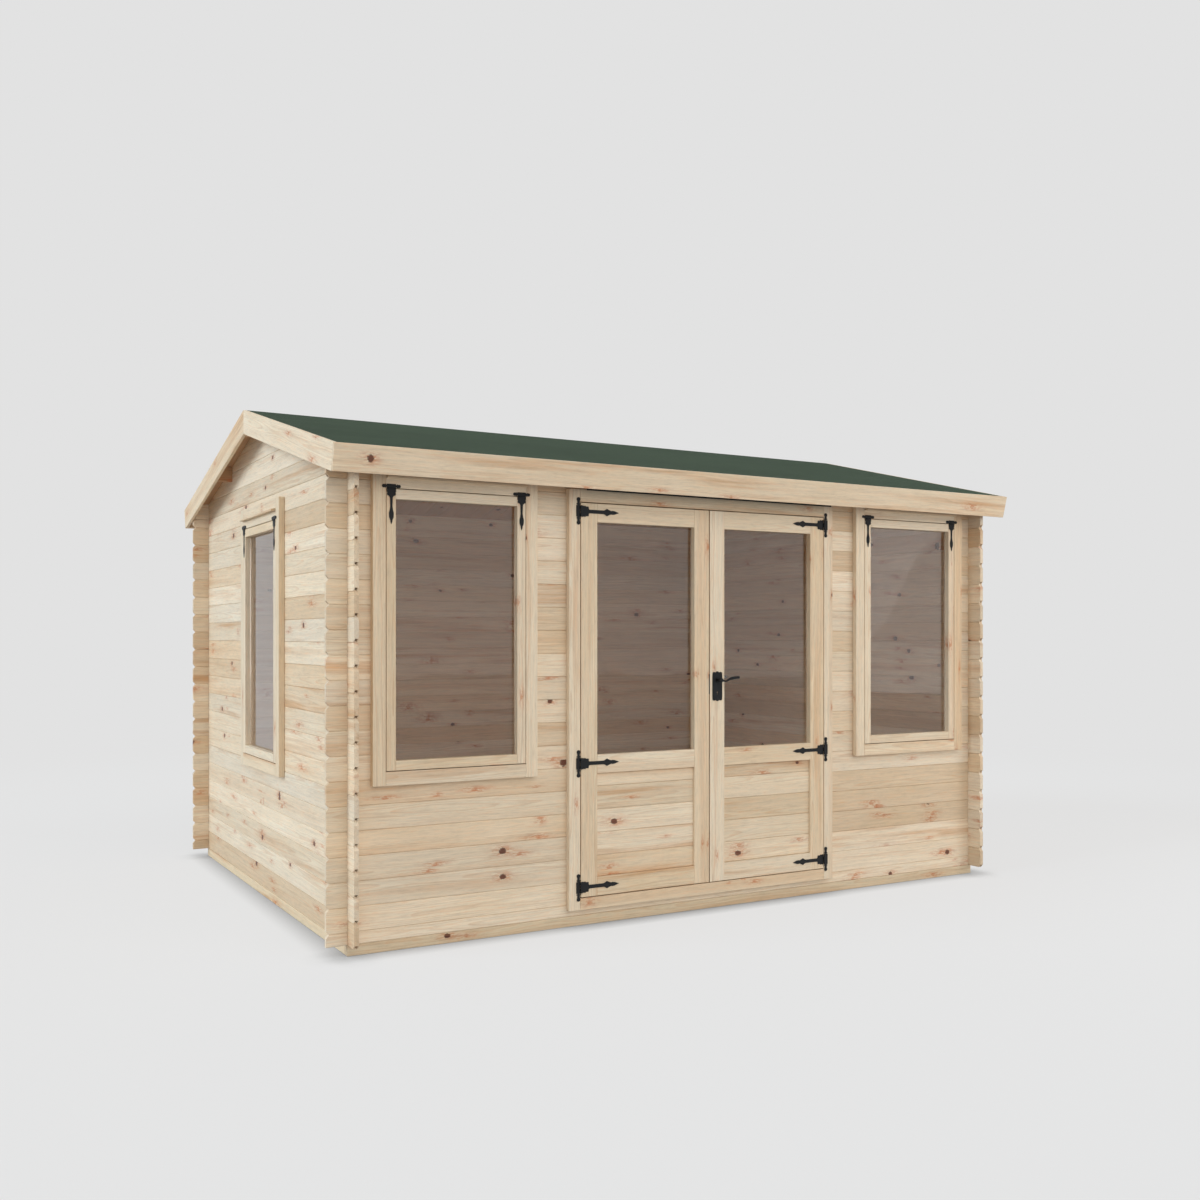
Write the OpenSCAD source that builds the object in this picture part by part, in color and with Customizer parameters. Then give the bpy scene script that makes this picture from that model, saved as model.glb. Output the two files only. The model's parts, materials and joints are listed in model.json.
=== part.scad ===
// Interlocking log cabin with double half-glazed doors, three top-hung windows and a felted gable roof.
// Frame: X along the front wall, Y from front to back, Z up.
// Origin: plan centre of the cabin, level with the underside of the bearers.

/* [Log walls] */
// Length of the front and back walls, outer face to outer face
wall_w = 3925; // [3700:5:4200]
// Length of the side walls, outer face to outer face
wall_d = 2925; // [2700:5:3200]
// Thickness of a log
log_t = 22; // [19:1:28]
// Height that one log covers
log_h = 114; // [112:1:116]
// How far the logs run past the crossing wall
log_end = 97.5; // [80:0.5:110]
// Height of the bearers under the walls
bearer_h = 50; // [40:1:70]
// Width of the bearers
bearer_w = 45; // [40:1:70]

/* [Roof] */
// Angle of each roof slope
roof_pitch = 13.9; // [13.5:0.1:14.5]
// Height of the top of the ridge over the underside of the bearers
ridge_top = 2694; // [2680:1:2720]
// How far the roof reaches past the front and back walls
eaves_out = 180; // [150:5:220]
// How far the roof reaches past the side walls
verge_out = 116; // [114:1:140]
// Thickness of the roof boards
roof_board_t = 18; // [16:1:19]
// Thickness of the roofing felt
felt_t = 3; // [2:0.5:4]
// Width of the bargeboards on the gables
barge_w = 128; // [110:1:135]
// Width of the fascias along the eaves
fascia_w = 125; // [100:1:130]
// Thickness of the bargeboards and fascias
edge_board_t = 18; // [15:1:18]

/* [Doors] */
// Width of one door leaf
leaf_w = 772.5; // [740:0.5:790]
// Height of a door leaf
leaf_h = 1965; // [1900:1:1968]
// Thickness of a door leaf
leaf_t = 40; // [34:1:44]
// Width of the stiles and rails of a leaf
stile_w = 93; // [80:1:100]
// Height of the underside of a leaf
leaf_foot = 146; // [144:1:150]
// Height of the underside of the glass in a leaf
door_glass_foot = 852; // [800:1:900]
// Gap around the leaves
door_gap = 5; // [5:0.5:7]
// Gap between the leaves
meeting_gap = 6; // [5.5:0.5:8]

/* [Windows] */
// Width of a window sash
sash_w = 706; // [680:1:720]
// Height of a window sash
sash_h = 1290; // [1250:1:1294]
// Width of the sash members
sash_rail = 45; // [38:1:55]
// Thickness of a sash
sash_t = 40; // [34:1:44]
// Distance from a wall's outer corner to a front window's centre
window_centre = 527; // [525:1:540]

/* [Casings] */
// How far the casings, sashes and leaves stand out from the logs
proud = 32; // [28:1:36]
// Width of the window casing at the sides
casing_w = 62; // [55:1:66]
// Width of the window casing over the sash
casing_head = 113; // [80:1:115]
// Width of the window casing under the sash
casing_foot = 64; // [55:1:66]
// Width of the door casing at the sides and at the top
door_casing = 62; // [60:1:66]
// Thickness of the glass
glass_t = 4; // [3:1:6]

/* [Hidden] */
$fn = 32;

// Gap between stacked logs, crossing logs and jointed members
joint = 0.5;
// Depth of the notch cut in the top and in the bottom of a log where it crosses another
notch_d = log_h / 4;
// Corner cut at each end of a log: length along the log and height
cut_l = 14;
cut_h = 17;
// Small bevel along the edges of a log
bevel = 3;
// Tongue and groove of a log
tongue_w = 9;
tongue_h = 7;
groove_w = 11;
groove_d = 16;

// Number of full courses in the side walls, and the level of the wall top
side_courses = 19;
wall_top = bearer_h + side_courses * log_h;
// Courses that a window takes out of its wall, counted from the first full course
window_first = 6;
window_courses = 12;
// Last course of the front and back walls that is full
eaves_courses = 18;
gable_courses = 4;

// Roof: depth of each layer under the top surface of the slope
slope_run = (wall_d / 2 + eaves_out) / cos(roof_pitch);
board_top = felt_t + joint / 2;
board_under = board_top + roof_board_t;
fascia_back = slope_run - edge_board_t;
roof_half = wall_w / 2 + verge_out;
barge_face = roof_half - edge_board_t;
between_barges = barge_face - joint;

// Purlins
purlin_w = 45;
ridge_purlin_h = 120;
side_purlin_in = 770;
side_purlin_foot = 2392;
purlin_top = ridge_top - board_under / cos(roof_pitch) - joint;

// Floor
floor_t = 19;
joist_w = 45;
joist_count = 4;

// Doors
door_span = 2 * leaf_w + meeting_gap + 2 * door_gap;
door_half = door_span / 2;
door_opening_half = door_half + 32;
hinge_levels = [196, 812, 2069];
pin_out = 6;
meeting_bevel = 3;
panel_recess = 12;
panel_t = 18;
door_panel_foot = leaf_foot + stile_w;
door_panel_top = door_glass_foot - stile_w;
glass_recess = 30;

// Windows
sash_gap = 3;
sill_h = 35;
front_frame_foot = bearer_h + log_h / 2 + window_first * log_h + sill_h;
side_frame_foot = bearer_h + window_first * log_h + sill_h;
frame_h = window_courses * log_h - 2 * sill_h;
sash_lift = (frame_h - sash_h) / 2;
window_half = sash_w / 2 + sash_gap;
window_opening_half = window_half + 32;

// Frames: depth from front to back, and the stop that the sash or leaf closes on
jamb_deep = 60;
stop_w = 10;
door_stop_gap = 5;

// Drip strips over the windows, and the iron rail over the doors
drip_out = 22;
drip_t = 14;
drip_rise = 48;
rail_out = 63;
rail_h = 20;
rail_half = 778;

// Ironmongery
iron_t = 3;
plate_h = 136;
plate_w = 26;
strap_l = 220;
barrel_r = 5;
window_barrel_r = 3.5;
window_strap_l = 162;
pin_r = 2.5;
knuckle_half = 11;
knuckle_end = 28;
spindle_z = 1214;
spindle_r = 4;
handle_z = 1181;
handle_plate_w = 62;
handle_plate_h = 158;
lever_l = 116;
lever_r = 6;
lever_rise = 13;
lever_dip = 8;
lever_out = 40;
spindle_hole = 9;
keyhole_z = 1150;
forend_t = 3;
forend_h = 106;
case_t = 10;
case_h = 88;
case_depth = 4.5;
handle_x = meeting_gap / 2 + stile_w / 2;
lock_middle = handle_z + 12;

// ---------------------------------------------------------------- placing

// Puts children on a wall: x runs along the wall, y = 0 is the outer face and y grows inwards.
module on_front() {
    translate([-wall_w / 2, -wall_d / 2, 0]) children();
}

module on_back() {
    translate([wall_w / 2, wall_d / 2, 0]) rotate([0, 0, 180]) children();
}

module on_left() {
    translate([-wall_w / 2, wall_d / 2, 0]) rotate([0, 0, -90]) children();
}

module on_right() {
    translate([wall_w / 2, -wall_d / 2, 0]) rotate([0, 0, 90]) children();
}

// A board from its lowest corner to its highest corner.
module board(low, high) {
    translate(low) cube(high - low);
}

// ---------------------------------------------------------------- logs

// Section of a log: tongue up, groove down, with a small bevel on its four edges.
module log_section(h, groove, tongue) {
    mid = log_t / 2;
    top = h - joint;
    foot_points = groove
        ? [[mid - groove_w / 2, 0], [mid - groove_w / 2, groove_d],
           [mid + groove_w / 2, groove_d], [mid + groove_w / 2, 0]]
        : [];
    top_points = tongue
        ? [[mid + tongue_w / 2, top], [mid + tongue_w / 2, top + tongue_h],
           [mid - tongue_w / 2, top + tongue_h], [mid - tongue_w / 2, top]]
        : [];
    polygon(concat(
        [[0, bevel], [bevel, 0]], foot_points, [[log_t - bevel, 0], [log_t, bevel]],
        [[log_t, top - bevel], [log_t - bevel, top]], top_points, [[bevel, top], [0, top - bevel]]
    ));
}

// Side outline of a log that starts at x = 0 and runs to the right.
// It holds one corner: the cut end and the notches where the crossing wall passes.
// The lowest log is square at the foot of its end and has no notches there.
function corner_foot(notched) = concat(
    notched
        ? [[-log_end, cut_h], [-log_end + cut_l, 0], [-log_end + cut_l, -1]]
        : [[-log_end, -1]],
    notched
        ? [[-joint, -1], [-joint, notch_d + joint / 2],
           [log_t + joint, notch_d + joint / 2], [log_t + joint, -1]]
        : []
);
function corner_top(h, notched) = concat(
    notched
        ? [[log_t + joint, h + groove_d], [log_t + joint, h - notch_d - joint / 2],
           [-joint, h - notch_d - joint / 2], [-joint, h + groove_d]]
        : [],
    [[-log_end + cut_l, h + groove_d], [-log_end + cut_l, h], [-log_end, h - cut_h]]
);
function mirrored(points, l) = [for (i = [len(points) - 1:-1:0]) [l - points[i][0], points[i][1]]];

// A log along x from a to b at level z. A corner end runs past the crossing wall; a plain end is square.
// The wall that it belongs to runs from x = 0 to x = l.
module wall_log(l, a, b, z, h, corner_a = true, corner_b = true, groove = true, tongue = true) {
    foot_a = corner_a ? corner_foot(groove) : [[a, -1]];
    foot_b = corner_b ? mirrored(corner_foot(groove), l) : [[b, -1]];
    top_a = corner_a ? corner_top(h, tongue) : [[a, h + groove_d]];
    top_b = corner_b ? mirrored(corner_top(h, tongue), l) : [[b, h + groove_d]];
    translate([0, 0, z]) intersection() {
        translate([-log_end, 0, 0]) rotate([90, 0, 90]) linear_extrude(l + 2 * log_end)
            log_section(h, groove, tongue);
        translate([0, log_t + 1, 0]) rotate([90, 0, 0]) linear_extrude(log_t + 2)
            polygon(concat(foot_a, foot_b, top_b, top_a));
    }
}

// Level of a full course in the side walls, and in the front and back walls, which start with half a log.
function side_level(course) = bearer_h + course * log_h;
function eaves_level(course) = bearer_h + log_h / 2 + course * log_h;

// Half-log at the foot of the front and back walls.
module foot_log(l) {
    wall_log(l, 0, l, bearer_h, log_h / 2, groove = false);
}

// Half-log at the top of the front and back walls, and the eaves log on it, whose top follows the roof.
module head_logs(l) {
    wall_log(l, 0, l, eaves_level(eaves_courses), log_h / 2, tongue = false);
    roof_under_out = purlin_top - wall_d / 2 * tan(roof_pitch);
    translate([-log_end, 0, 0]) rotate([90, 0, 90]) linear_extrude(l + 2 * log_end)
        polygon([
            [bevel, wall_top], [log_t, wall_top],
            [log_t, roof_under_out + log_t * tan(roof_pitch)], [0, roof_under_out], [0, wall_top + bevel]
        ]);
}

// ---------------------------------------------------------------- ground frame and floor

module bearers() {
    color("burlywood") {
        for (side = [-1, 1])
            translate([-wall_w / 2, side * (wall_d - bearer_w) / 2 - bearer_w / 2, 0])
                cube([wall_w, bearer_w, bearer_h - joint]);
        for (side = [-1, 1])
            translate([side * (wall_w - bearer_w) / 2 - bearer_w / 2, -wall_d / 2 + bearer_w + joint, 0])
                cube([bearer_w, wall_d - 2 * bearer_w - 2 * joint, bearer_h - joint]);
    }
}

module floor_joists() {
    step = (wall_w - 2 * bearer_w) / (joist_count + 1);
    color("burlywood")
        for (i = [1:joist_count])
            translate([-wall_w / 2 + bearer_w + i * step - joist_w / 2, -wall_d / 2 + bearer_w + joint, 0])
                cube([joist_w, wall_d - 2 * bearer_w - 2 * joint, bearer_h - joint]);
}

module floor_deck() {
    inside = [wall_w / 2 - log_t - 2, wall_d / 2 - log_t - 2];
    color("wheat") board([-inside[0], -inside[1], bearer_h], [inside[0], inside[1], bearer_h + floor_t]);
}

// ---------------------------------------------------------------- walls

module front_wall_foot() {
    color("wheat") on_front() difference() {
        foot_log(wall_w);
        board([wall_w / 2 - door_opening_half, -1, eaves_level(0) - joint],
              [wall_w / 2 + door_opening_half, log_t + 1, eaves_level(0) + log_h]);
    }
}

// The wall between a corner and the doorway, with the window taken out of it.
module front_wall_side() {
    doorway_edge = wall_w / 2 - door_opening_half;
    window_a = window_centre - window_opening_half;
    window_b = window_centre + window_opening_half;
    difference() {
        for (course = [0:window_first - 1])
            wall_log(wall_w, 0, doorway_edge, eaves_level(course), log_h, corner_b = false);
        sill_cut(window_a, window_b, eaves_level(window_first));
    }
    for (course = [window_first:eaves_courses - 1]) {
        wall_log(wall_w, 0, window_a, eaves_level(course), log_h, corner_b = false);
        wall_log(wall_w, window_b, doorway_edge, eaves_level(course), log_h,
                 corner_a = false, corner_b = false);
    }
}

// Takes the tongue off the log under a window, where the sill lies.
module sill_cut(a, b, z) {
    board([a, -1, z - joint], [b, log_t + 1, z + log_h]);
}

module front_wall_left() {
    color("wheat") on_front() front_wall_side();
}

module front_wall_right() {
    color("wheat") mirror([1, 0, 0]) on_front() front_wall_side();
}

module front_wall_head() {
    color("wheat") on_front() head_logs(wall_w);
}

module back_wall() {
    color("wheat") on_back() {
        foot_log(wall_w);
        for (course = [0:eaves_courses - 1])
            wall_log(wall_w, 0, wall_w, eaves_level(course), log_h);
        head_logs(wall_w);
    }
}

module left_wall() {
    window_a = wall_d / 2 - window_opening_half;
    window_b = wall_d / 2 + window_opening_half;
    window_last = window_first + window_courses - 1;
    color("wheat") on_left() {
        difference() {
            for (course = [0:window_first - 1])
                wall_log(wall_d, 0, wall_d, side_level(course), log_h);
            sill_cut(window_a, window_b, side_level(window_first));
        }
        for (course = [window_first:window_last]) {
            wall_log(wall_d, 0, window_a, side_level(course), log_h, corner_b = false);
            wall_log(wall_d, window_b, wall_d, side_level(course), log_h, corner_a = false);
        }
        for (course = [window_last + 1:side_courses - 1])
            wall_log(wall_d, 0, wall_d, side_level(course), log_h);
    }
}

module right_wall() {
    color("wheat") on_right()
        for (course = [0:side_courses - 1])
            wall_log(wall_d, 0, wall_d, side_level(course), log_h);
}

// Logs of a gable, cut to the slopes of the roof and notched for the purlins.
module gable_logs() {
    inset = log_t + joint;
    notch_w = purlin_w + 2 * joint;
    ridge_notch_foot = purlin_top - ridge_purlin_h - joint;
    difference() {
        intersection() {
            for (course = [0:gable_courses - 1])
                translate([0, 0, wall_top + course * log_h])
                    rotate([90, 0, 90]) linear_extrude(wall_d)
                        log_section(log_h, true, course < gable_courses - 1);
            translate([0, log_t + 1, 0]) rotate([90, 0, 0]) linear_extrude(log_t + 2)
                polygon([
                    [inset, wall_top - 1], [wall_d - inset, wall_top - 1],
                    [wall_d - inset, purlin_top - (wall_d / 2 - inset) * tan(roof_pitch)],
                    [wall_d / 2, purlin_top],
                    [inset, purlin_top - (wall_d / 2 - inset) * tan(roof_pitch)]
                ]);
        }
        translate([wall_d / 2 - notch_w / 2, -1, ridge_notch_foot]) cube([notch_w, log_t + 2, ridge_top]);
        for (side = [-1, 1])
            translate([wall_d / 2 + side * (side_purlin_in + purlin_w / 2) - notch_w / 2, -1,
                       side_purlin_foot - joint])
                cube([notch_w, log_t + 2, ridge_top]);
    }
}

module left_gable() {
    color("wheat") on_left() gable_logs();
}

module right_gable() {
    color("wheat") on_right() gable_logs();
}

// ---------------------------------------------------------------- roof

// Point on the front slope at the ridge, and at a distance s down the slope, at depth d under its top.
function ridge_point(d) = [-joint / 2, ridge_top - joint / 2 * tan(roof_pitch) - d / cos(roof_pitch)];
function slope_point(s, d) = [
    -s * cos(roof_pitch) + d * sin(roof_pitch),
    ridge_top - s * sin(roof_pitch) - d * cos(roof_pitch)
];

// Layer of the front slope from the ridge to s, between two depths, from x = a to x = b.
module slope_layer(s, d_top, d_under, a, b) {
    translate([a, 0, 0]) rotate([90, 0, 90]) linear_extrude(b - a)
        polygon([ridge_point(d_top), slope_point(s, d_top), slope_point(s, d_under), ridge_point(d_under)]);
}

// Boards of the front slope, between the bargeboards and up to the fascia.
module slope_boards() {
    slope_layer(fascia_back - joint, board_top, board_under, -between_barges, between_barges);
}

module front_roof_boards() {
    color("burlywood") slope_boards();
}

module back_roof_boards() {
    color("burlywood") mirror([0, 1, 0]) slope_boards();
}

module roof_felt() {
    top = slope_point(fascia_back - joint, 0);
    under = slope_point(fascia_back - joint, felt_t);
    color("darkgreen")
        translate([-between_barges, 0, 0]) rotate([90, 0, 90]) linear_extrude(2 * between_barges)
            polygon([
                [0, ridge_top], top, under, [0, ridge_top - felt_t / cos(roof_pitch)],
                [-under[0], under[1]], [-top[0], top[1]]
            ]);
}

module fascia() {
    translate([-roof_half, 0, 0]) rotate([90, 0, 90]) linear_extrude(2 * roof_half)
        polygon([
            slope_point(fascia_back, 0), slope_point(slope_run, 0),
            slope_point(slope_run, fascia_w), slope_point(fascia_back, fascia_w)
        ]);
}

module front_fascia() {
    color("wheat") fascia();
}

module back_fascia() {
    color("wheat") mirror([0, 1, 0]) fascia();
}

module bargeboards() {
    for (side = [0, 1])
        mirror([0, side, 0]) slope_layer(fascia_back - joint, 0, barge_w, -roof_half, -barge_face);
}

module left_bargeboards() {
    color("wheat") bargeboards();
}

module right_bargeboards() {
    color("wheat") mirror([1, 0, 0]) bargeboards();
}

module ridge_purlin() {
    top = purlin_top;
    edge_top = top - purlin_w / 2 * tan(roof_pitch);
    color("burlywood")
        translate([-between_barges, 0, 0]) rotate([90, 0, 90]) linear_extrude(2 * between_barges)
            polygon([
                [-purlin_w / 2, top - ridge_purlin_h], [purlin_w / 2, top - ridge_purlin_h],
                [purlin_w / 2, edge_top], [0, top], [-purlin_w / 2, edge_top]
            ]);
}

module side_purlins() {
    outer = side_purlin_in + purlin_w;
    color("burlywood")
        for (side = [0, 1])
            mirror([0, side, 0]) translate([-between_barges, 0, 0]) rotate([90, 0, 90])
                linear_extrude(2 * between_barges) polygon([
                    [side_purlin_in, side_purlin_foot], [outer, side_purlin_foot],
                    [outer, purlin_top - outer * tan(roof_pitch)],
                    [side_purlin_in, purlin_top - side_purlin_in * tan(roof_pitch)]
                ]);
}

module purlins() {
    ridge_purlin();
    side_purlins();
}

// ---------------------------------------------------------------- windows

// Head of a frame along x, from -half to half, with its lower face at z = 0.
// The casing in front of the wall is higher than the jamb inside the opening.
module head_member(half, casing, jamb) {
    translate([-half, 0, 0]) rotate([90, 0, 90]) linear_extrude(2 * half)
        polygon([
            [-proud, 0], [jamb_deep - proud, 0], [jamb_deep - proud, jamb - joint],
            [-joint, jamb - joint], [-joint, casing], [-proud, casing]
        ]);
}

// Frame around an opening from x = -half to half and from z = foot to top.
// Its stiles run the full height, with the head and the sill between them, and it has a stop all round.
// casing and jamb hold the widths in front of the wall and inside it, each as [side, head, foot].
module frame(half, foot, top, casing, jamb, stop_y) {
    back = jamb_deep - proud;
    inner = half - joint;
    stop_end = inner - stop_w;
    jamb_end = half + jamb[0] - joint;
    for (side = [0, 1])
        mirror([side, 0, 0]) {
            board([half, -proud, foot - casing[2]], [half + casing[0], -joint, top + casing[1]]);
            board([half, -proud, foot - jamb[2] + joint], [jamb_end, back, top + jamb[1] - joint]);
            board([half - stop_w, stop_y, foot + joint], [half + 1, back, top - joint]);
        }
    translate([0, 0, top]) head_member(inner, casing[1], jamb[1]);
    translate([0, 0, foot]) mirror([0, 0, 1]) head_member(inner, casing[2], jamb[2]);
    board([-stop_end, stop_y, top - stop_w], [stop_end, back, top + 1]);
    board([-stop_end, stop_y, foot - 1], [stop_end, back, foot + stop_w]);
}

module window_frame(foot) {
    frame(window_half, foot, foot + frame_h,
          [casing_w, casing_head, casing_foot], [window_opening_half - window_half, sill_h, sill_h],
          sash_t - proud + joint);
}

// Two stiles with rails between them; every member is w wide and t thick.
module sash_members(width, height, w, t) {
    for (side = [-1, 1])
        translate([side * (width - w) / 2 - w / 2, 0, 0]) cube([w, t, height]);
    for (z = [0, height - w])
        translate([-width / 2 + w + joint / 2, 0, z]) cube([width - 2 * w - joint, t, w]);
}

module window_sash(foot) {
    translate([0, -proud, foot + sash_lift]) sash_members(sash_w, sash_h, sash_rail, sash_t);
}

module window_glass(foot) {
    half = sash_w / 2 - sash_rail - joint;
    y = -proud + glass_recess;
    low = foot + sash_lift + sash_rail + joint;
    board([-half, y, low], [half, y + glass_t, low + sash_h - 2 * sash_rail - 2 * joint]);
}

module front_left_window() {
    on_front() translate([window_centre, 0, 0]) children();
}

module front_right_window() {
    on_front() translate([wall_w - window_centre, 0, 0]) children();
}

module side_window() {
    on_left() translate([wall_d / 2, 0, 0]) children();
}

module doorway() {
    on_front() translate([wall_w / 2, 0, 0]) children();
}

module front_left_window_frame() {
    color("navajowhite") front_left_window() window_frame(front_frame_foot);
}

module front_left_window_sash() {
    color("navajowhite") front_left_window() window_sash(front_frame_foot);
}

module front_left_window_glass() {
    color("lightsteelblue", 0.4) front_left_window() window_glass(front_frame_foot);
}

module front_right_window_frame() {
    color("navajowhite") front_right_window() window_frame(front_frame_foot);
}

module front_right_window_sash() {
    color("navajowhite") front_right_window() window_sash(front_frame_foot);
}

module front_right_window_glass() {
    color("lightsteelblue", 0.4) front_right_window() window_glass(front_frame_foot);
}

module side_window_frame() {
    color("navajowhite") side_window() window_frame(side_frame_foot);
}

module side_window_sash() {
    color("navajowhite") side_window() window_sash(side_frame_foot);
}

module side_window_glass() {
    color("lightsteelblue", 0.4) side_window() window_glass(side_frame_foot);
}

// Drip strip over the sash of a window, with a top that sheds water.
module drip_strip(foot) {
    translate([-sash_w / 2, -proud - joint, foot + sash_lift + sash_h + drip_rise])
        rotate([90, 0, 90]) linear_extrude(sash_w)
            polygon([[0, 0], [0, drip_t], [-drip_out, drip_t - 4], [-drip_out, 0]]);
}

module drip_strips() {
    color("navajowhite") {
        front_left_window() drip_strip(front_frame_foot);
        front_right_window() drip_strip(front_frame_foot);
        side_window() drip_strip(side_frame_foot);
    }
}

// Bent iron rail over the doors: a flange out from the casing with a lip down at its front.
module door_drip_rail() {
    y = -proud - joint;
    top = leaf_foot + leaf_h + 75;
    color("darkslategray") doorway()
        translate([-rail_half, 0, 0]) rotate([90, 0, 90]) linear_extrude(2 * rail_half)
            polygon([
                [y, top], [y - rail_out, top], [y - rail_out, top - rail_h],
                [y - rail_out + iron_t, top - rail_h], [y - rail_out + iron_t, top - iron_t],
                [y, top - iron_t]
            ]);
}

// ---------------------------------------------------------------- ironmongery

// Outline of a strap that runs along x from the pin: stepped block, narrow bar, diamond and arrow tip.
// l is its length, bar and block are half heights, and the block starts at start.
module strap_outline(l, bar, block, start) {
    edge = [
        [start, block], [start + 8, block], [start + 10, block * 0.9], [start + 13, block * 0.9],
        [start + 15, block], [start + 20, block], [start + 22, block * 0.8], [start + 25, block * 0.87],
        [start + 38, block * 0.84], [start + 39, bar * 1.4], [start + 43, bar], [l * 0.60, bar],
        [l * 0.63, bar * 1.3], [l * 0.68, bar * 2.05],
        [l * 0.74, bar * 1.4], [l * 0.80, bar * 0.9], [l * 0.82, bar * 1.15], [l * 0.88, bar],
        [l * 0.94, bar * 0.5]
    ];
    polygon(concat(edge, [[l, 0]], [for (i = [len(edge) - 1:-1:0]) [edge[i][0], -edge[i][1]]]));
}

// Outline of a window strap: block, narrow bar that swells to a long leaf, and a fine point.
module leaf_outline(l, bar, block, start) {
    edge = [
        [start, block], [start + 12, block], [start + 14, block * 0.86], [start + 17, block * 0.86],
        [start + 19, block * 0.96], [start + 27, block * 0.92], [start + 31, bar * 1.7],
        [start + 38, bar], [l * 0.50, bar * 0.8], [l * 0.60, bar * 1.15], [l * 0.68, bar * 1.75],
        [l * 0.80, bar * 1.65], [l * 0.86, bar], [l * 0.89, bar * 0.6], [l * 0.91, bar * 0.75],
        [l * 0.96, bar * 0.4]
    ];
    polygon(concat(edge, [[l, 0]], [for (i = [len(edge) - 1:-1:0]) [edge[i][0], -edge[i][1]]]));
}

// Outline of the cross plate along y: a body, and at each end a collar, a neck and a round finial.
module cross_outline(h, w, body) {
    half = h / 2;
    ball = w * 0.39;
    square([w, 2 * body], center = true);
    for (side = [-1, 1]) {
        translate([0, side * (body + half - ball) / 2])
            square([w * 0.52, half - ball - body + 2], center = true);
        translate([0, side * (body + 7)]) square([w * 0.85, 5], center = true);
        translate([0, side * (half - ball)]) circle(r = ball);
    }
}

// Fixed part of a door hinge, with the axis of the pin at x = y = 0: plate, two knuckles and the pin.
module hinge_plate() {
    difference() {
        translate([-plate_w / 2, pin_out, 0]) rotate([90, 0, 0]) linear_extrude(iron_t)
            cross_outline(plate_h, plate_w, knuckle_end);
        board([-barrel_r - 1, -1, -knuckle_end], [pin_out + 1, pin_out + 1, knuckle_end]);
    }
    for (side = [0, 1])
        mirror([0, 0, side]) translate([0, 0, knuckle_half + 1]) {
            cylinder(r = barrel_r, h = knuckle_end - knuckle_half - 1);
            board([-barrel_r - 1.5, 0, 0], [0, pin_out, knuckle_end - knuckle_half - 1]);
        }
    translate([0, 0, -knuckle_end]) cylinder(r = pin_r, h = 2 * knuckle_end);
}

// Moving part of a door hinge: strap on the leaf, and the middle knuckle around the pin.
module hinge_strap() {
    translate([0, pin_out, 0]) rotate([90, 0, 0]) linear_extrude(iron_t)
        strap_outline(strap_l, 9, knuckle_end, barrel_r + 1);
    difference() {
        union() {
            translate([0, 0, -knuckle_half]) cylinder(r = barrel_r, h = 2 * knuckle_half);
            board([0, pin_out - iron_t, -knuckle_half], [barrel_r + 2, pin_out, knuckle_half]);
        }
        translate([0, 0, -knuckle_half - 1]) cylinder(r = pin_r + joint, h = 2 * knuckle_half + 2);
    }
}

// Hinge of a window: cross plate on the casing over the sash, barrel, and strap down the sash.
module window_hinge() {
    translate([0, 0, 12]) rotate([90, 0, 0]) linear_extrude(iron_t) rotate(90) cross_outline(90, 20, 22);
    rotate([90, 90, 0]) linear_extrude(iron_t) leaf_outline(window_strap_l, 6.5, 22, 2);
    translate([-20, -window_barrel_r, 0]) rotate([0, 90, 0]) cylinder(r = window_barrel_r, h = 40);
}

module window_hinge_pair(foot) {
    for (side = [-1, 1])
        translate([side * (sash_w - sash_rail) / 2, -proud - joint, foot + frame_h - sash_lift])
            window_hinge();
}

module window_hinges() {
    color("darkslategray") {
        front_left_window() window_hinge_pair(front_frame_foot);
        front_right_window() window_hinge_pair(front_frame_foot);
        side_window() window_hinge_pair(side_frame_foot);
    }
}

// Puts children at each hinge of the left leaf, with the axis of the pin at x = y = 0.
module at_hinges() {
    for (level = hinge_levels)
        translate([-door_half + door_gap / 2, -proud - pin_out, level]) children();
}

module door_hinge_plates() {
    color("darkslategray") doorway()
        for (side = [0, 1])
            mirror([side, 0, 0]) at_hinges() translate([0, -joint, 0]) hinge_plate();
}

// ---------------------------------------------------------------- doors

module door_frame() {
    foot = leaf_foot - door_gap;
    top = leaf_foot + leaf_h + door_gap;
    opening_foot = eaves_level(0);
    opening_top = eaves_level(eaves_courses);
    color("navajowhite") doorway()
        frame(door_half, foot, top, [door_casing, door_casing, door_casing - 4],
              [door_opening_half - door_half, opening_top - top, foot - opening_foot],
              leaf_t - proud + door_stop_gap);
}

// Stiles and rails of the left leaf. Its meeting stile is bevelled at the back so that it can swing out.
module leaf_members() {
    a = -door_half + door_gap;
    b = a + leaf_w;
    translate([0, -proud, 0]) {
        board([a, 0, leaf_foot], [a + stile_w, leaf_t, leaf_foot + leaf_h]);
        translate([0, 0, leaf_foot]) linear_extrude(leaf_h)
            polygon([[b - stile_w, 0], [b, 0], [b - meeting_bevel, leaf_t], [b - stile_w, leaf_t]]);
        for (z = [leaf_foot, door_panel_top, leaf_foot + leaf_h - stile_w])
            board([a + stile_w + joint / 2, 0, z], [b - stile_w - joint / 2, leaf_t, z + stile_w]);
    }
}

// A sheet that fills a leaf between its stiles, from z = low to high, at a depth behind the front.
module leaf_infill(low, high, depth, t) {
    a = -door_half + door_gap + stile_w + joint;
    b = a + leaf_w - 2 * stile_w - 2 * joint;
    board([a, -proud + depth, low + joint], [b, -proud + depth + t, high - joint]);
}

module leaf_boards() {
    leaf_infill(door_panel_foot, door_panel_top, panel_recess, panel_t);
}

module leaf_glass() {
    leaf_infill(door_glass_foot, leaf_foot + leaf_h - stile_w, glass_recess, glass_t);
}

module leaf_straps() {
    at_hinges() translate([0, -joint, 0]) hinge_strap();
}

module left_door_leaf() {
    color("navajowhite") doorway() leaf_members();
}

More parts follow.
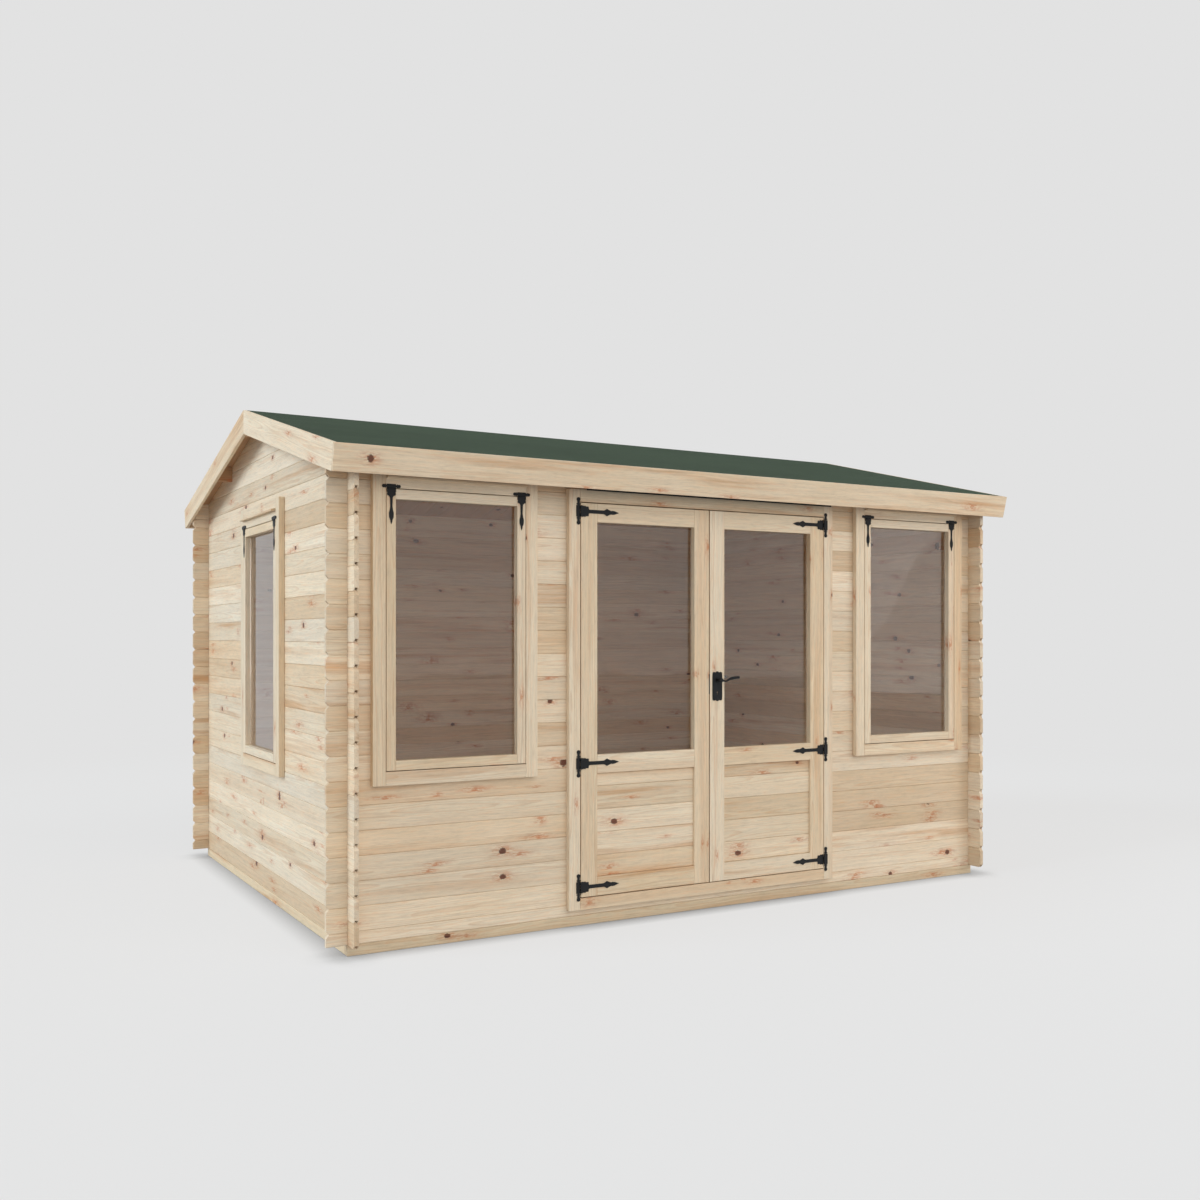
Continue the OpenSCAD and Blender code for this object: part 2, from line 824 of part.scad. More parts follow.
module left_door_boards() {
    color("wheat") doorway() leaf_boards();
}

module left_door_glass() {
    color("lightsteelblue", 0.4) doorway() leaf_glass();
}

module left_door_straps() {
    color("darkslategray") doorway() leaf_straps();
}

// Hole through the stile of the right leaf for the spindle.
module spindle_bore() {
    translate([handle_x, -proud - 1, spindle_z]) rotate([-90, 0, 0])
        cylinder(r = spindle_hole, h = leaf_t + 2);
}

module right_door_leaf() {
    color("navajowhite") doorway() difference() {
        mirror([1, 0, 0]) leaf_members();
        spindle_bore();
        lock_case(joint);
        translate([handle_x, -proud + leaf_t + 1, keyhole_z]) rotate([90, 0, 0])
            linear_extrude(leaf_t + 2) keyhole();
    }
}

module right_door_boards() {
    color("wheat") doorway() mirror([1, 0, 0]) leaf_boards();
}

module right_door_glass() {
    color("lightsteelblue", 0.4) doorway() mirror([1, 0, 0]) leaf_glass();
}

module right_door_straps() {
    color("darkslategray") doorway() mirror([1, 0, 0]) leaf_straps();
}

// Round hole with a slot under it.
module keyhole() {
    circle(r = 4);
    translate([-1.75, -14]) square([3.5, 14]);
}

// Plate with three lobes at each end, a hole for the spindle and a keyhole, lying in the x-z plane.
module plate_blank() {
    half_w = handle_plate_w / 2;
    half_h = handle_plate_h / 2;
    rotate([90, 0, 0]) linear_extrude(iron_t) difference() {
        union() {
            square([handle_plate_w - 5, handle_plate_h - 20], center = true);
            square([handle_plate_w, handle_plate_h - 36], center = true);
            for (side = [-1, 1]) {
                translate([0, side * (half_h - 12)]) circle(r = 12);
                for (edge = [-1, 1])
                    translate([edge * (half_w - 10.5), side * (half_h - 13)]) circle(r = 10);
            }
        }
        translate([0, spindle_z - handle_z]) circle(r = spindle_hole);
        translate([0, keyhole_z - handle_z]) keyhole();
    }
}

module handle_plates() {
    color("darkslategray") doorway() {
        translate([handle_x, -proud - joint, handle_z]) plate_blank();
        translate([handle_x, -proud + leaf_t + iron_t + joint, handle_z]) plate_blank();
    }
}

// Case of the mortise lock, with its hole for the spindle. A positive slack makes the room cut for it.
module lock_case(slack) {
    foot = lock_middle - case_h / 2;
    board([(meeting_gap - forend_t) / 2, -proud + case_depth - slack, foot - slack],
          [handle_x + 16 + slack, -proud + case_depth + case_t + slack, foot + case_h + slack]);
}

// Mortise lock: the forend in the meeting edge of the right leaf, and the case inside its stile.
module lock_forend() {
    x = meeting_gap / 2 - forend_t;
    foot = lock_middle - forend_h / 2;
    color("darkslategray") doorway() {
        board([x, -proud + 1.5, foot], [x + forend_t - joint, -proud + 17.5, foot + forend_h]);
        difference() {
            lock_case(0);
            spindle_bore();
        }
    }
}

// Wavy lever, flat on its front, that starts at the spindle and runs along +x.
module lever() {
    steps = 24;
    reach = lever_l - lever_r;
    upper = [for (i = [0:steps]) [reach * i / steps, wave(i / steps) + girth(i / steps)]];
    lower = [for (i = [steps:-1:0]) [reach * i / steps, wave(i / steps) - girth(i / steps)]];
    linear_extrude(2 * lever_r - 2) polygon(concat(upper, lower));
    translate([reach, wave(1), 0]) cylinder(r = girth(1), h = 2 * lever_r - 2);
    cylinder(r = lever_r + 4, h = 2 * lever_r - 2);
}
function wave(t) = lever_rise * t * t * (3 - 2 * t) - lever_dip * pow(sin(180 * min(1, t / 0.55)), 2);
function girth(t) = lever_r + 1 - 3.5 * sin(180 * min(1, t / 0.6));

module lever_handle() {
    front = -proud - lever_out;
    back = -proud + leaf_t + lever_out;
    rose = lever_out - iron_t - 2 * joint;
    color("darkslategray") doorway() translate([handle_x, 0, spindle_z]) {
        translate([0, front, 0]) rotate([-90, 0, 0]) cylinder(r = spindle_r, h = back - front);
        translate([0, front, 0]) rotate([-90, 0, 0]) cylinder(r = spindle_hole - 1.5, h = rose);
        translate([0, back - rose, 0]) rotate([-90, 0, 0]) cylinder(r = spindle_hole - 1.5, h = rose);
        translate([0, front + lever_r, 0]) rotate([90, 0, 0]) lever();
        translate([0, back + lever_r - 2, 0]) rotate([90, 0, 0]) lever();
    }
}

// ---------------------------------------------------------------- nodes

bearers();
floor_joists();
floor_deck();  // floor
front_wall_foot();
front_wall_left();
front_wall_right();
front_wall_head();
left_wall();
left_gable();
right_wall();
right_gable();
back_wall();
purlins();
front_roof_boards();
back_roof_boards();
roof_felt();
front_fascia();
back_fascia();
left_bargeboards();
right_bargeboards();
front_left_window_frame();
front_left_window_sash();
front_left_window_glass();
front_right_window_frame();
front_right_window_sash();
front_right_window_glass();
side_window_frame();
side_window_sash();
side_window_glass();
drip_strips();
window_hinges();
door_frame();
door_drip_rail();
door_hinge_plates();
left_door_leaf();
left_door_boards();
left_door_glass();
left_door_straps();
right_door_leaf();
right_door_boards();
right_door_glass();
right_door_straps();
handle_plates();
lock_forend();
lever_handle();
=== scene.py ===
"""Looks of a pine log cabin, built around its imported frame.

Every timber is cut from a solid of the frame, gets slightly eased arrises, and carries its own place in
the tree it was sawn from, so that rings, knots and end grain run through it as through real wood.
Lengths are metres; X runs along the front wall, Y from front to back, and Z up.
"""

from __future__ import annotations

import json
import logging
import math
import zlib
from dataclasses import dataclass, field
from enum import Enum

import bmesh
import bpy
import numpy as np
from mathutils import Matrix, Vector

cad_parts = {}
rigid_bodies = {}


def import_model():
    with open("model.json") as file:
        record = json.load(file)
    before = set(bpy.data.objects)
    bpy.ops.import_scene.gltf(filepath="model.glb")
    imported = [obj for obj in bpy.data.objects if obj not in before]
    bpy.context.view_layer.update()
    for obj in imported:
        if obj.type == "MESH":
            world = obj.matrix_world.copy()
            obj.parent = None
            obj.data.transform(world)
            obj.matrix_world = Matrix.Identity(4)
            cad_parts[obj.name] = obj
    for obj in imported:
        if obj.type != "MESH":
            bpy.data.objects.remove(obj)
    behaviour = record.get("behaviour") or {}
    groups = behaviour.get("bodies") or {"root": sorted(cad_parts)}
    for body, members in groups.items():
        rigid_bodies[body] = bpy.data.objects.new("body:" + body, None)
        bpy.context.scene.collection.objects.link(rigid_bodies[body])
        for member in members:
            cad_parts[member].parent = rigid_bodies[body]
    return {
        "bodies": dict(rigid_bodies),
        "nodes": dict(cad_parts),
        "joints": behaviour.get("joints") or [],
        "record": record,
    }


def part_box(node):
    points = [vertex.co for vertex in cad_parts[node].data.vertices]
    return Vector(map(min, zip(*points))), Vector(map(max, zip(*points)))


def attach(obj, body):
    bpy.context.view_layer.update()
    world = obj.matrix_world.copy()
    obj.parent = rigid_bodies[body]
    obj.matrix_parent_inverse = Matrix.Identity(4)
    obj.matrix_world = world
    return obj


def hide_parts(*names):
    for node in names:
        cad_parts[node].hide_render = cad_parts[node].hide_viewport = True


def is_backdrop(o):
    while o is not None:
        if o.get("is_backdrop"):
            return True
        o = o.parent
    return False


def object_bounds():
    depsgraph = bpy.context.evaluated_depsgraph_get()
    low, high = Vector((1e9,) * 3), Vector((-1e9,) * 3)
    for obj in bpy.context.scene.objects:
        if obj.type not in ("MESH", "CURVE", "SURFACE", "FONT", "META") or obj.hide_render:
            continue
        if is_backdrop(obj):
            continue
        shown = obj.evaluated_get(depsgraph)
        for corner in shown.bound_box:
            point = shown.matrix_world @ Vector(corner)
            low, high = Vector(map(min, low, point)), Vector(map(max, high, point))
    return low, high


LOG = logging.getLogger("cabin")

# Slope of the roof, in degrees.
ROOF_PITCH = 13.9

Colour = tuple[float, float, float]
Point = tuple[float, float, float]
Socket = bpy.types.NodeSocket
Sockets = tuple[Socket, Socket, Socket]


def linear(red: int, green: int, blue: int) -> Colour:
    """Turns a display colour of 0 to 255 into linear light, by the sRGB curve.

    Args:
        red: display red.
        green: display green.
        blue: display blue.

    Returns:
        The linear colour.
    """
    parts = [c / 255 for c in (red, green, blue)]
    return tuple(c / 12.92 if c <= 0.04045 else ((c + 0.055) / 1.055) ** 2.4 for c in parts)


def draws(name: str) -> np.random.Generator:
    """Gives the seeded random draws of a piece, from its name."""
    return np.random.default_rng(zlib.crc32(name.encode()))


def add_object(name: str, data: bpy.types.ID) -> bpy.types.Object:
    """Adds an object to the scene, at the origin.

    Args:
        name: its name.
        data: its mesh, light or camera.

    Returns:
        The object.
    """
    made = bpy.data.objects.new(name, data)
    bpy.context.scene.collection.objects.link(made)
    return made


# ---------------- node graphs


class Graph:
    """The node tree of a material or world, with short calls that add a node and join what feeds it."""

    def __init__(self, owner: bpy.types.Material | bpy.types.World) -> None:
        """Empties the owner's tree and gives it an output.

        Args:
            owner: the material or world.
        """
        self.owner = owner
        owner.use_nodes = True
        self.tree = owner.node_tree
        self.tree.nodes.clear()
        self.output = self.node("OutputWorld" if isinstance(owner, bpy.types.World) else "OutputMaterial")

    @classmethod
    def material(cls, name: str) -> Graph:
        """Starts the tree of a new material called name."""
        return cls(bpy.data.materials.new(name))

    def node(
        self, kind: str, inputs: dict[str | int, object] | None = None, **settings: object
    ) -> bpy.types.Node:
        """Adds a node.

        Args:
            kind: the node's type name after "ShaderNode".
            inputs: what each input gets, a socket to join or a value to set.
            settings: the node's own properties.

        Returns:
            The node.
        """
        made = self.tree.nodes.new("ShaderNode" + kind)
        for key, value in settings.items():
            setattr(made, key, value)
        for key, value in (inputs or {}).items():
            self.feed(made.inputs[key], value)
        return made

    def feed(self, socket: Socket, value: object) -> None:
        """Joins a socket to an input, or sets the input to a plain value.

        Args:
            socket: the input.
            value: a socket to join, a colour or a number.
        """
        if isinstance(value, Socket):
            self.tree.links.new(value, socket)
        elif isinstance(value, tuple) and socket.type == "RGBA":
            socket.default_value = (*value, 1.0)
        else:
            socket.default_value = value

    def math(self, operation: str, *values: object, clamp: bool = False) -> Socket:
        """Adds a Math node and gives its result."""
        made = self.node("Math", dict(enumerate(values)), operation=operation, use_clamp=clamp)
        return made.outputs[0]

    def times(self, first: object, second: object) -> Socket:
        """Gives first x second."""
        return self.math("MULTIPLY", first, second)

    def scaled(self, value: object, factor: object, plus: object) -> Socket:
        """Gives value x factor + plus."""
        return self.math("MULTIPLY_ADD", value, factor, plus)

    def split(self, vector: Socket) -> Sockets:
        """Gives the three parts of a vector."""
        made = self.node("SeparateXYZ", {0: vector})
        return made.outputs[0], made.outputs[1], made.outputs[2]

    def join(self, x: object, y: object, z: object) -> Socket:
        """Makes a vector of three parts."""
        return self.node("CombineXYZ", {0: x, 1: y, 2: z}).outputs[0]

    def place(self) -> Socket:
        """Gives the point's place in the shared frame."""
        return self.node("TexCoord").outputs["Object"]

    def attribute(self, name: str) -> bpy.types.Node:
        """Reads a mesh attribute."""
        return self.node("Attribute", attribute_name=name)

    def noise(self, vector: Socket, scale: float, detail: float = 2.0, roughness: float = 0.5) -> Socket:
        """Adds a 3-D noise and gives its value, about 0.5 on average."""
        inputs = {"Vector": vector, "Scale": scale, "Detail": detail, "Roughness": roughness}
        return self.node("TexNoise", inputs).outputs[0]

    def length(self, first: Socket, second: Socket) -> Socket:
        """Gives the square root of the sum of two squares."""
        return self.math("SQRT", self.scaled(first, first, self.times(second, second)))

    def step(self, value: object, low: object, high: object) -> Socket:
        """Maps value from low..high to 0..1, with a smooth ease and no overshoot."""
        inputs = {"Value": value, "From Min": low, "From Max": high}
        return self.node("MapRange", inputs, interpolation_type="SMOOTHSTEP").outputs[0]

    def mix(self, share: object, first: object, second: object) -> Socket:
        """Mixes two colours by share and gives the result."""
        return self.node("Mix", {0: share, 6: first, 7: second}, data_type="RGBA").outputs[2]

    def bump(self, height: Socket, distance: float) -> Socket:
        """Turns a height into a bumped normal."""
        return self.node("Bump", {"Height": height, "Distance": distance}).outputs[0]

    def unlit_rays(self) -> Socket:
        """Tells the rays that are seen from the rays that light.

        Returns:
            1 for rays of the camera, of reflections and through glass, and 0 for others.
        """
        path = self.node("LightPath").outputs
        indirect = self.math("ADD", path["Is Glossy Ray"], path["Is Transmission Ray"])
        return self.math("ADD", path["Is Camera Ray"], indirect, clamp=True)

    def surface(
        self, colour: Socket, rough: object, normal: Socket, specular: float, metallic: float = 0.0
    ) -> bpy.types.Material:
        """Gives the material an opaque surface.

        Args:
            colour: its colour.
            rough: its roughness.
            normal: its bumped normal.
            specular: strength of its gloss.
            metallic: 0 for wood, felt and paint, to 1 for bare metal.

        Returns:
            The material.
        """
        inputs = {"Base Color": colour, "Roughness": rough, "Normal": normal}
        inputs |= {"Specular IOR Level": specular, "Metallic": metallic}
        return self.finish(self.node("BsdfPrincipled", inputs))

    def finish(self, shader: bpy.types.Node) -> bpy.types.Material | bpy.types.World:
        """Joins the shader to the output and gives the owner."""
        self.tree.links.new(shader.outputs[0], self.output.inputs[0])
        return self.owner


# ---------------- finishes


@dataclass(frozen=True)
class Layer:
    """A noise that is drawn out along the grain.

    Attributes:
        long: features in a metre along the grain.
        fine: features in a metre across it.
        detail: octaves of the noise.
        roughness: strength of the finer octaves.
        low: value up to which the layer doesn't show.
        high: value from which it shows in full.
    """

    long: float
    fine: float
    detail: float = 2.0
    roughness: float = 0.6
    low: float = 0.0
    high: float = 1.0

    def value(self, g: Graph, place: Sockets) -> Socket:
        """Adds the noise.

        Args:
            g: the graph to add to.
            place: the place along the tree, across from its axis and behind it.

        Returns:
            The noise's value, about 0.5 on average.
        """
        along, across, behind = place
        drawn = g.join(g.times(along, self.long), g.times(across, self.fine), g.times(behind, self.fine))
        return g.noise(drawn, 1.0, self.detail, self.roughness)

    def shown(self, g: Graph, value: Socket) -> Socket:
        """Eases the layer's value from low..high to 0..1."""
        return g.step(value, self.low, self.high)


@dataclass(frozen=True)
class Knots:
    """How one kind of knot is scattered through a tree.

    One knot may start in each cell of the tree's skin, and it runs straight out from the tree's axis.

    Attributes:
        step_along: length of a cell.
        step_round: angle of a cell.
        share: share of the cells that hold a knot.
        size: radius of the largest knot.
        stretch: how many times longer the stain around it is along the grain than across it.
    """

    step_along: float
    step_round: float
    share: float
    size: float
    stretch: float = 2.6

    # The smallest knot in shares of the largest, and the growth from which a knot has a dark core.
    SMALLEST = 0.4
    CORED = 0.25
    # Outline of the core: how much it is drawn out along the grain, and how ragged it is.
    SQUASH = 0.7
    RAGGED = 0.9
    RAGGED_SCALE = 110.0
    # Distances, in radii of the knot, where the core starts and ends and where the stain fades.
    CORE_OUT = 1.15
    CORE_IN = 0.75
    STAIN = 1.9
    # Width of the dark rim in shares of the largest knot's radius.
    RIM = 0.2
    # Flames in the stain: features in a metre along and across, and the values that they show between.
    FLAME = Layer(30.0, 190.0, 4.0, 0.7, 0.40, 0.60)

    def scatter(self, g: Graph, along: Socket, angle: Socket, radius: Socket) -> Sockets:
        """Adds the knots to a graph.

        The place across a knot is the radius times the angle from its middle. The core's distance is
        sqrt((squash x along)^2 + across^2), and the stain's is sqrt((along / stretch)^2 + across^2); both
        are made ragged by noise.

        Args:
            g: the graph to add to.
            along: place along the tree.
            angle: angle around the tree's axis.
            radius: distance from the axis.

        Returns:
            The knot's core, the stained wood around it, and its dark rim, each 0 to 1.
        """
        cell = g.join(g.math("DIVIDE", along, self.step_along), g.math("DIVIDE", angle, self.step_round), 0.0)
        found = g.node("TexVoronoi", {"Vector": cell, "Scale": 1.0}, voronoi_dimensions="2D", feature="F1")
        offset = g.node("VectorMath", {0: cell, 1: found.outputs["Position"]}, operation="SUBTRACT")
        off_along, off_round, _ = g.split(offset.outputs[0])
        off_along = g.times(off_along, self.step_along)
        across = g.times(g.times(off_round, self.step_round), radius)
        chance, kind, _ = g.split(found.outputs["Color"])
        grown = g.node("MapRange", {"Value": chance, "From Min": 1.0 - self.share}).outputs[0]
        there = g.math("GREATER_THAN", grown, 0.001)
        cored = g.math("GREATER_THAN", grown, self.CORED)
        reach = g.scaled(grown, self.size * (1.0 - self.SMALLEST), self.size * self.SMALLEST)

        ragged = g.noise(g.join(off_along, across, radius), self.RAGGED_SCALE, 2.0, 0.6)
        distance = g.math("SUBTRACT", g.length(g.times(off_along, self.SQUASH), across),
                          self.size * self.RAGGED / 2)
        distance = g.scaled(ragged, self.size * self.RAGGED, distance)
        core = g.step(distance, g.times(reach, self.CORE_OUT), g.times(reach, self.CORE_IN))
        core = g.times(there, g.times(core, cored))
        rim = g.math("ABSOLUTE", g.math("SUBTRACT", distance, reach))
        edge = g.times(cored, g.step(rim, self.size * self.RIM, 0.0))

        flame = g.join(g.times(off_along, self.FLAME.long), g.times(across, self.FLAME.fine), kind)
        flame = g.noise(flame, 1.0, self.FLAME.detail, self.FLAME.roughness)
        stain = g.length(g.math("DIVIDE", off_along, self.stretch), across)
        stain = g.math("DIVIDE", stain, g.times(reach, self.STAIN))
        stain = g.math("EXPONENT", g.times(g.times(stain, stain), -1.0))
        return core, g.times(there, g.times(stain, self.FLAME.shown(g, flame))), edge


@dataclass(frozen=True)
class PineFinish:
    """Planed pine. Rings are cylinders around the tree's axis, and knots run out from that axis.

    The mesh carries "grain", a point's place in the tree (along, across and behind, in metres), "tone",
    three random numbers of its timber, and "end_cut", which is 1 on faces sawn across the grain.

    Attributes:
        name: name of the material.
        pale: early wood of the lightest timbers.
        deep: early wood of the deepest ones.
        amber: late wood, streaks and heart.
        stain: wood around a knot.
        knot: core of a knot.
        knots: the knots with a core.
        smudges: faint knots that have only a stain.
        streak: how strong the amber streaks get.
        tint: how much lighter or darker a timber may be than the next.
        warm: how much amber the warmest timbers get all over.
        rough: roughness of the planed face.
    """

    name: str
    pale: Colour = linear(236, 222, 198)
    deep: Colour = linear(222, 199, 165)
    amber: Colour = linear(198, 148, 100)
    stain: Colour = linear(192, 112, 66)
    knot: Colour = linear(88, 46, 40)
    knots: Knots = Knots(0.62, 1.2, 0.14, 0.013)
    smudges: Knots = Knots(0.43, 0.9, 0.26, 0.010, 4.5)
    streak: float = 0.8
    tint: float = 0.07
    warm: float = 0.0
    rough: float = 0.6

    # Streaks run far along the timber and change fast across it, from broad bands down to single fibres.
    BROAD = Layer(0.8, 17.0, 3.0, 0.62, 0.46, 0.76)
    BANDS = Layer(2.6, 75.0, 3.0, 0.65)
    DASHES = Layer(11.0, 330.0, low=0.56, high=0.78)
    FIBRE = Layer(14.0, 620.0)
    MOTTLE = Layer(13.0, 95.0, 3.0, 0.7, 0.50, 0.80)
    # The tree's axis wanders by these widths across and behind, at this scale along the tree.
    SWAY_ACROSS = 0.05
    SWAY_BEHIND = 0.03
    SWAY_SCALE = 0.9
    # Features in a metre, along and across, of soft clouds of colour and of the rings' wobble.
    CLOUD = (2.2, 5.0)
    WOBBLE = (3.0, 25.0)
    # Shares of a ring where its late wood starts and where it is darkest.
    LATE_FROM = 0.45
    LATE_PEAK = 0.93
    # Distance from ring to ring, and how far noise and knots push the rings out, in rings.
    RING_GAP = 0.0036
    RING_WOBBLE = 1.5
    RING_BULGE = 1.8
    # Radii where the darker heart starts to show and where it shows in full.
    HEART_OUT = 0.058
    HEART_IN = 0.030
    # The smudges lie this much further along the tree than the knots.
    SMUDGES_ALONG = 31.7
    # Rings in the core of a knot, and the dark rim around it.
    KNOT_RING_GAP = 0.0016
    KNOT_RIM = linear(60, 34, 28)
    BUMP = 0.0004
    GLOSS = 0.35

    def material(self) -> bpy.types.Material:
        """Builds and gives the pine material."""
        g = Graph.material(self.name)
        tone = g.split(g.attribute("tone").outputs["Vector"])
        end_cut = g.attribute("end_cut").outputs["Fac"]
        along, y, z = place = self.tree_place(g, tone[0])
        radius = g.length(y, z)
        angle = g.math("ARCTAN2", z, y)
        knots = self.knots.scatter(g, along, angle, radius)
        smudges = self.smudges.scatter(g, g.math("ADD", along, self.SMUDGES_ALONG), angle, radius)

        late = self.late_wood(g, place, radius, knots[1])
        bands = self.BANDS.value(g, place)
        fibre = self.FIBRE.value(g, place)
        mottle = self.MOTTLE.value(g, place)
        dashes = self.DASHES.shown(g, self.DASHES.value(g, place))
        cloud = g.noise(g.join(g.times(along, self.CLOUD[0]), g.times(y, self.CLOUD[1]), z), 1.0)

        share = g.scaled(cloud, 0.7, g.scaled(tone[0], 0.7, -0.3))
        share = g.math("ADD", share, 0.0, clamp=True)
        colour = g.mix(share, self.pale, self.deep)
        heart = g.step(g.scaled(cloud, 0.02, radius), self.HEART_OUT, self.HEART_IN)
        broad = self.BROAD.shown(g, self.BROAD.value(g, place))
        # Each row holds where a tint shows, its strength and its colour, in the order they are laid on.
        for mark, strength, tinge in (
            (g.step(tone[0], 0.55, 1.0), self.warm, self.amber),
            (late, 0.26, self.amber),
            (g.times(broad, tone[2]), self.streak, self.amber),
            (g.times(heart, tone[1]), 0.26, self.amber),
            (dashes, 0.26, self.amber),
            (self.MOTTLE.shown(g, mottle), 0.42, self.amber),
            (smudges[1], 0.75, self.stain),
            (smudges[0], 0.35, self.stain),
            (knots[1], 0.85, self.stain),
        ):
            colour = g.mix(g.times(mark, strength), colour, tinge)
        colour = self.with_knots(g, colour, radius, knots)

        # Each row holds what lightens or darkens the wood, how much, and the level at its lowest.
        value = g.scaled(tone[1], self.tint * 2, 1.0 - self.tint)
        for mark, swing, lowest in (
            (fibre, 0.16, 0.92), (bands, 0.36, 0.82), (mottle, 0.52, 0.75), (end_cut, -0.05, 1.0),
        ):
            value = g.times(value, g.scaled(mark, swing, lowest))
        tinted = g.node("VectorMath", {0: colour, 3: value}, operation="SCALE").outputs[0]

        height = g.scaled(late, 0.3, g.times(fibre, 0.8))
        height = g.scaled(knots[0], 0.5, g.scaled(dashes, -0.5, height))
        rough = g.scaled(knots[0], -0.12, g.scaled(fibre, 0.16, self.rough - 0.08))
        return g.surface(tinted, rough, g.bump(height, self.BUMP), self.GLOSS)

    def tree_place(self, g: Graph, tone: Socket) -> Sockets:
        """Gives the place in the tree, measured from its wandering axis.

        The wandering draws the arched figure on flat-sawn faces.

        Args:
            g: the graph to add to.
            tone: a random number of the timber.

        Returns:
            The place along the tree, across from its axis and behind it.
        """
        along, across, behind = g.split(g.attribute("grain").outputs["Vector"])
        inputs = {"Vector": g.join(along, tone, 0.0), "Scale": self.SWAY_SCALE, "Detail": 1.0}
        sway_across, sway_behind, _ = g.split(g.node("TexNoise", inputs).outputs["Color"])
        y = g.scaled(sway_across, self.SWAY_ACROSS, g.math("SUBTRACT", across, self.SWAY_ACROSS / 2))
        z = g.scaled(sway_behind, self.SWAY_BEHIND, g.math("SUBTRACT", behind, self.SWAY_BEHIND / 2))
        return along, y, z

    def late_wood(self, g: Graph, place: Sockets, radius: Socket, halo: Socket) -> Socket:
        """Adds the rings: a slow pale rise and a quick dark end, pushed outwards around each knot.

        Args:
            g: the graph to add to.
            place: the place in the tree.
            radius: distance from the tree's axis.
            halo: the stained wood around the knots.

        Returns:
            The late wood, 0 to 1.
        """
        along, y, z = place
        wobble = g.noise(g.join(g.times(along, self.WOBBLE[0]), g.times(y, self.WOBBLE[1]), z), 1.0)
        phase = g.scaled(wobble, self.RING_WOBBLE, g.math("DIVIDE", radius, self.RING_GAP))
        ring = g.math("FRACT", g.scaled(halo, self.RING_BULGE, phase))
        return g.times(g.step(ring, self.LATE_FROM, self.LATE_PEAK), g.step(ring, 1.0, self.LATE_PEAK))

    def with_knots(self, g: Graph, colour: Socket, radius: Socket, knots: Sockets) -> Socket:
        """Lays the knots' ringed cores and dark rims over a colour.

        Args:
            g: the graph to add to.
            colour: the wood's colour.
            radius: distance from the tree's axis.
            knots: the knots' core, stained wood and rim.

        Returns:
            The colour with the knots.
        """
        core, _, edge = knots
        rings = g.math("FRACT", g.math("DIVIDE", radius, self.KNOT_RING_GAP))
        colour = g.mix(core, colour, g.mix(g.times(rings, 0.22), self.knot, self.amber))
        return g.mix(g.times(edge, 0.7), colour, self.KNOT_RIM)


@dataclass(frozen=True)
class FeltFinish:
    """Roofing felt: green mineral grains on bitumen, in faint streaks where it was unrolled."""

    name: str = "mineral_felt"
    light: Colour = linear(80, 99, 78)
    dark: Colour = linear(36, 50, 38)
    worn: Colour = linear(58, 70, 60)
    grains: float = 420.0

    def material(self) -> bpy.types.Material:
        """Builds and gives the felt material."""
        g = Graph.material(self.name)
        place = g.place()
        grains = g.node("TexVoronoi", {"Vector": place, "Scale": self.grains}, feature="F1").outputs
        speck = g.split(grains["Color"])[0]
        patch = g.noise(place, 1.3, 3.0, 0.6)
        worn = g.noise(place, 9.0, 3.0, 0.6)
        x, y, z = g.split(place)
        rolled = g.noise(g.join(g.times(x, 2.0), g.times(y, 38.0), z), 1.0, 3.0, 0.65)
        share = g.scaled(rolled, 0.5, g.scaled(speck, 0.6, g.scaled(patch, 0.35, -0.35)))
        share = g.math("ADD", share, 0.0, clamp=True)
        colour = g.mix(share, self.dark, self.light)
        colour = g.mix(g.times(g.step(worn, 0.5, 0.8), 0.25), colour, self.worn)
        height = g.math("SUBTRACT", g.times(worn, 0.6), grains["Distance"])
        return g.surface(colour, 0.93, g.bump(height, 0.0008), 0.25)


@dataclass(frozen=True)
class IronFinish:
    """Black powder coat on forged iron, a little dusty."""

    name: str = "powder_coat"
    coat: Colour = linear(20, 21, 23)
    dust: Colour = linear(46, 45, 44)

    def material(self) -> bpy.types.Material:
        """Builds and gives the iron material."""
        g = Graph.material(self.name)
        place = g.place()
        peel = g.noise(place, 700.0)
        dust = g.noise(place, 40.0, 3.0, 0.6)
        colour = g.mix(g.times(g.step(dust, 0.5, 0.85), 0.25), self.coat, self.dust)
        rough = g.scaled(dust, 0.25, 0.40)
        return g.surface(colour, rough, g.bump(peel, 0.0002), 0.32)


@dataclass(frozen=True)
class SteelFinish:
    """Brushed and blackened steel of the lock's forend."""

    name: str = "blackened_steel"
    dark: Colour = linear(48, 56, 58)
    light: Colour = linear(82, 94, 97)

    def material(self) -> bpy.types.Material:
        """Builds and gives the steel material."""
        g = Graph.material(self.name)
        x, y, z = g.split(g.place())
        brushed = g.noise(g.join(g.times(x, 900.0), g.times(y, 900.0), g.times(z, 20.0)), 1.0)
        colour = g.mix(brushed, self.dark, self.light)
        rough = g.scaled(brushed, 0.2, 0.28)
        return g.surface(colour, rough, g.bump(brushed, 0.0001), 0.5, metallic=0.5)


@dataclass(frozen=True)
class GlassFinish:
    """Clear float glass that lets lamps light the room behind it."""

    name: str = "float_glass"
    tint: Colour = (0.98, 0.935, 0.905)

    def material(self) -> bpy.types.Material:
        """Builds and gives the glass material."""
        g = Graph.material(self.name)
        wave = g.noise(g.place(), 3.5, 1.0)
        glass = g.node(
            "BsdfPrincipled",
            {
                "Base Color": self.tint, "Roughness": 0.0, "IOR": 1.45, "Transmission Weight": 1.0,
                "Specular IOR Level": 0.35, "Normal": g.bump(wave, 0.0006),
            },
        )
        clear = g.node("BsdfTransparent", {"Color": self.tint})
        shadow = g.node("LightPath").outputs["Is Shadow Ray"]
        return g.finish(g.node("MixShader", {0: shadow, 1: glass.outputs[0], 2: clear.outputs[0]}))


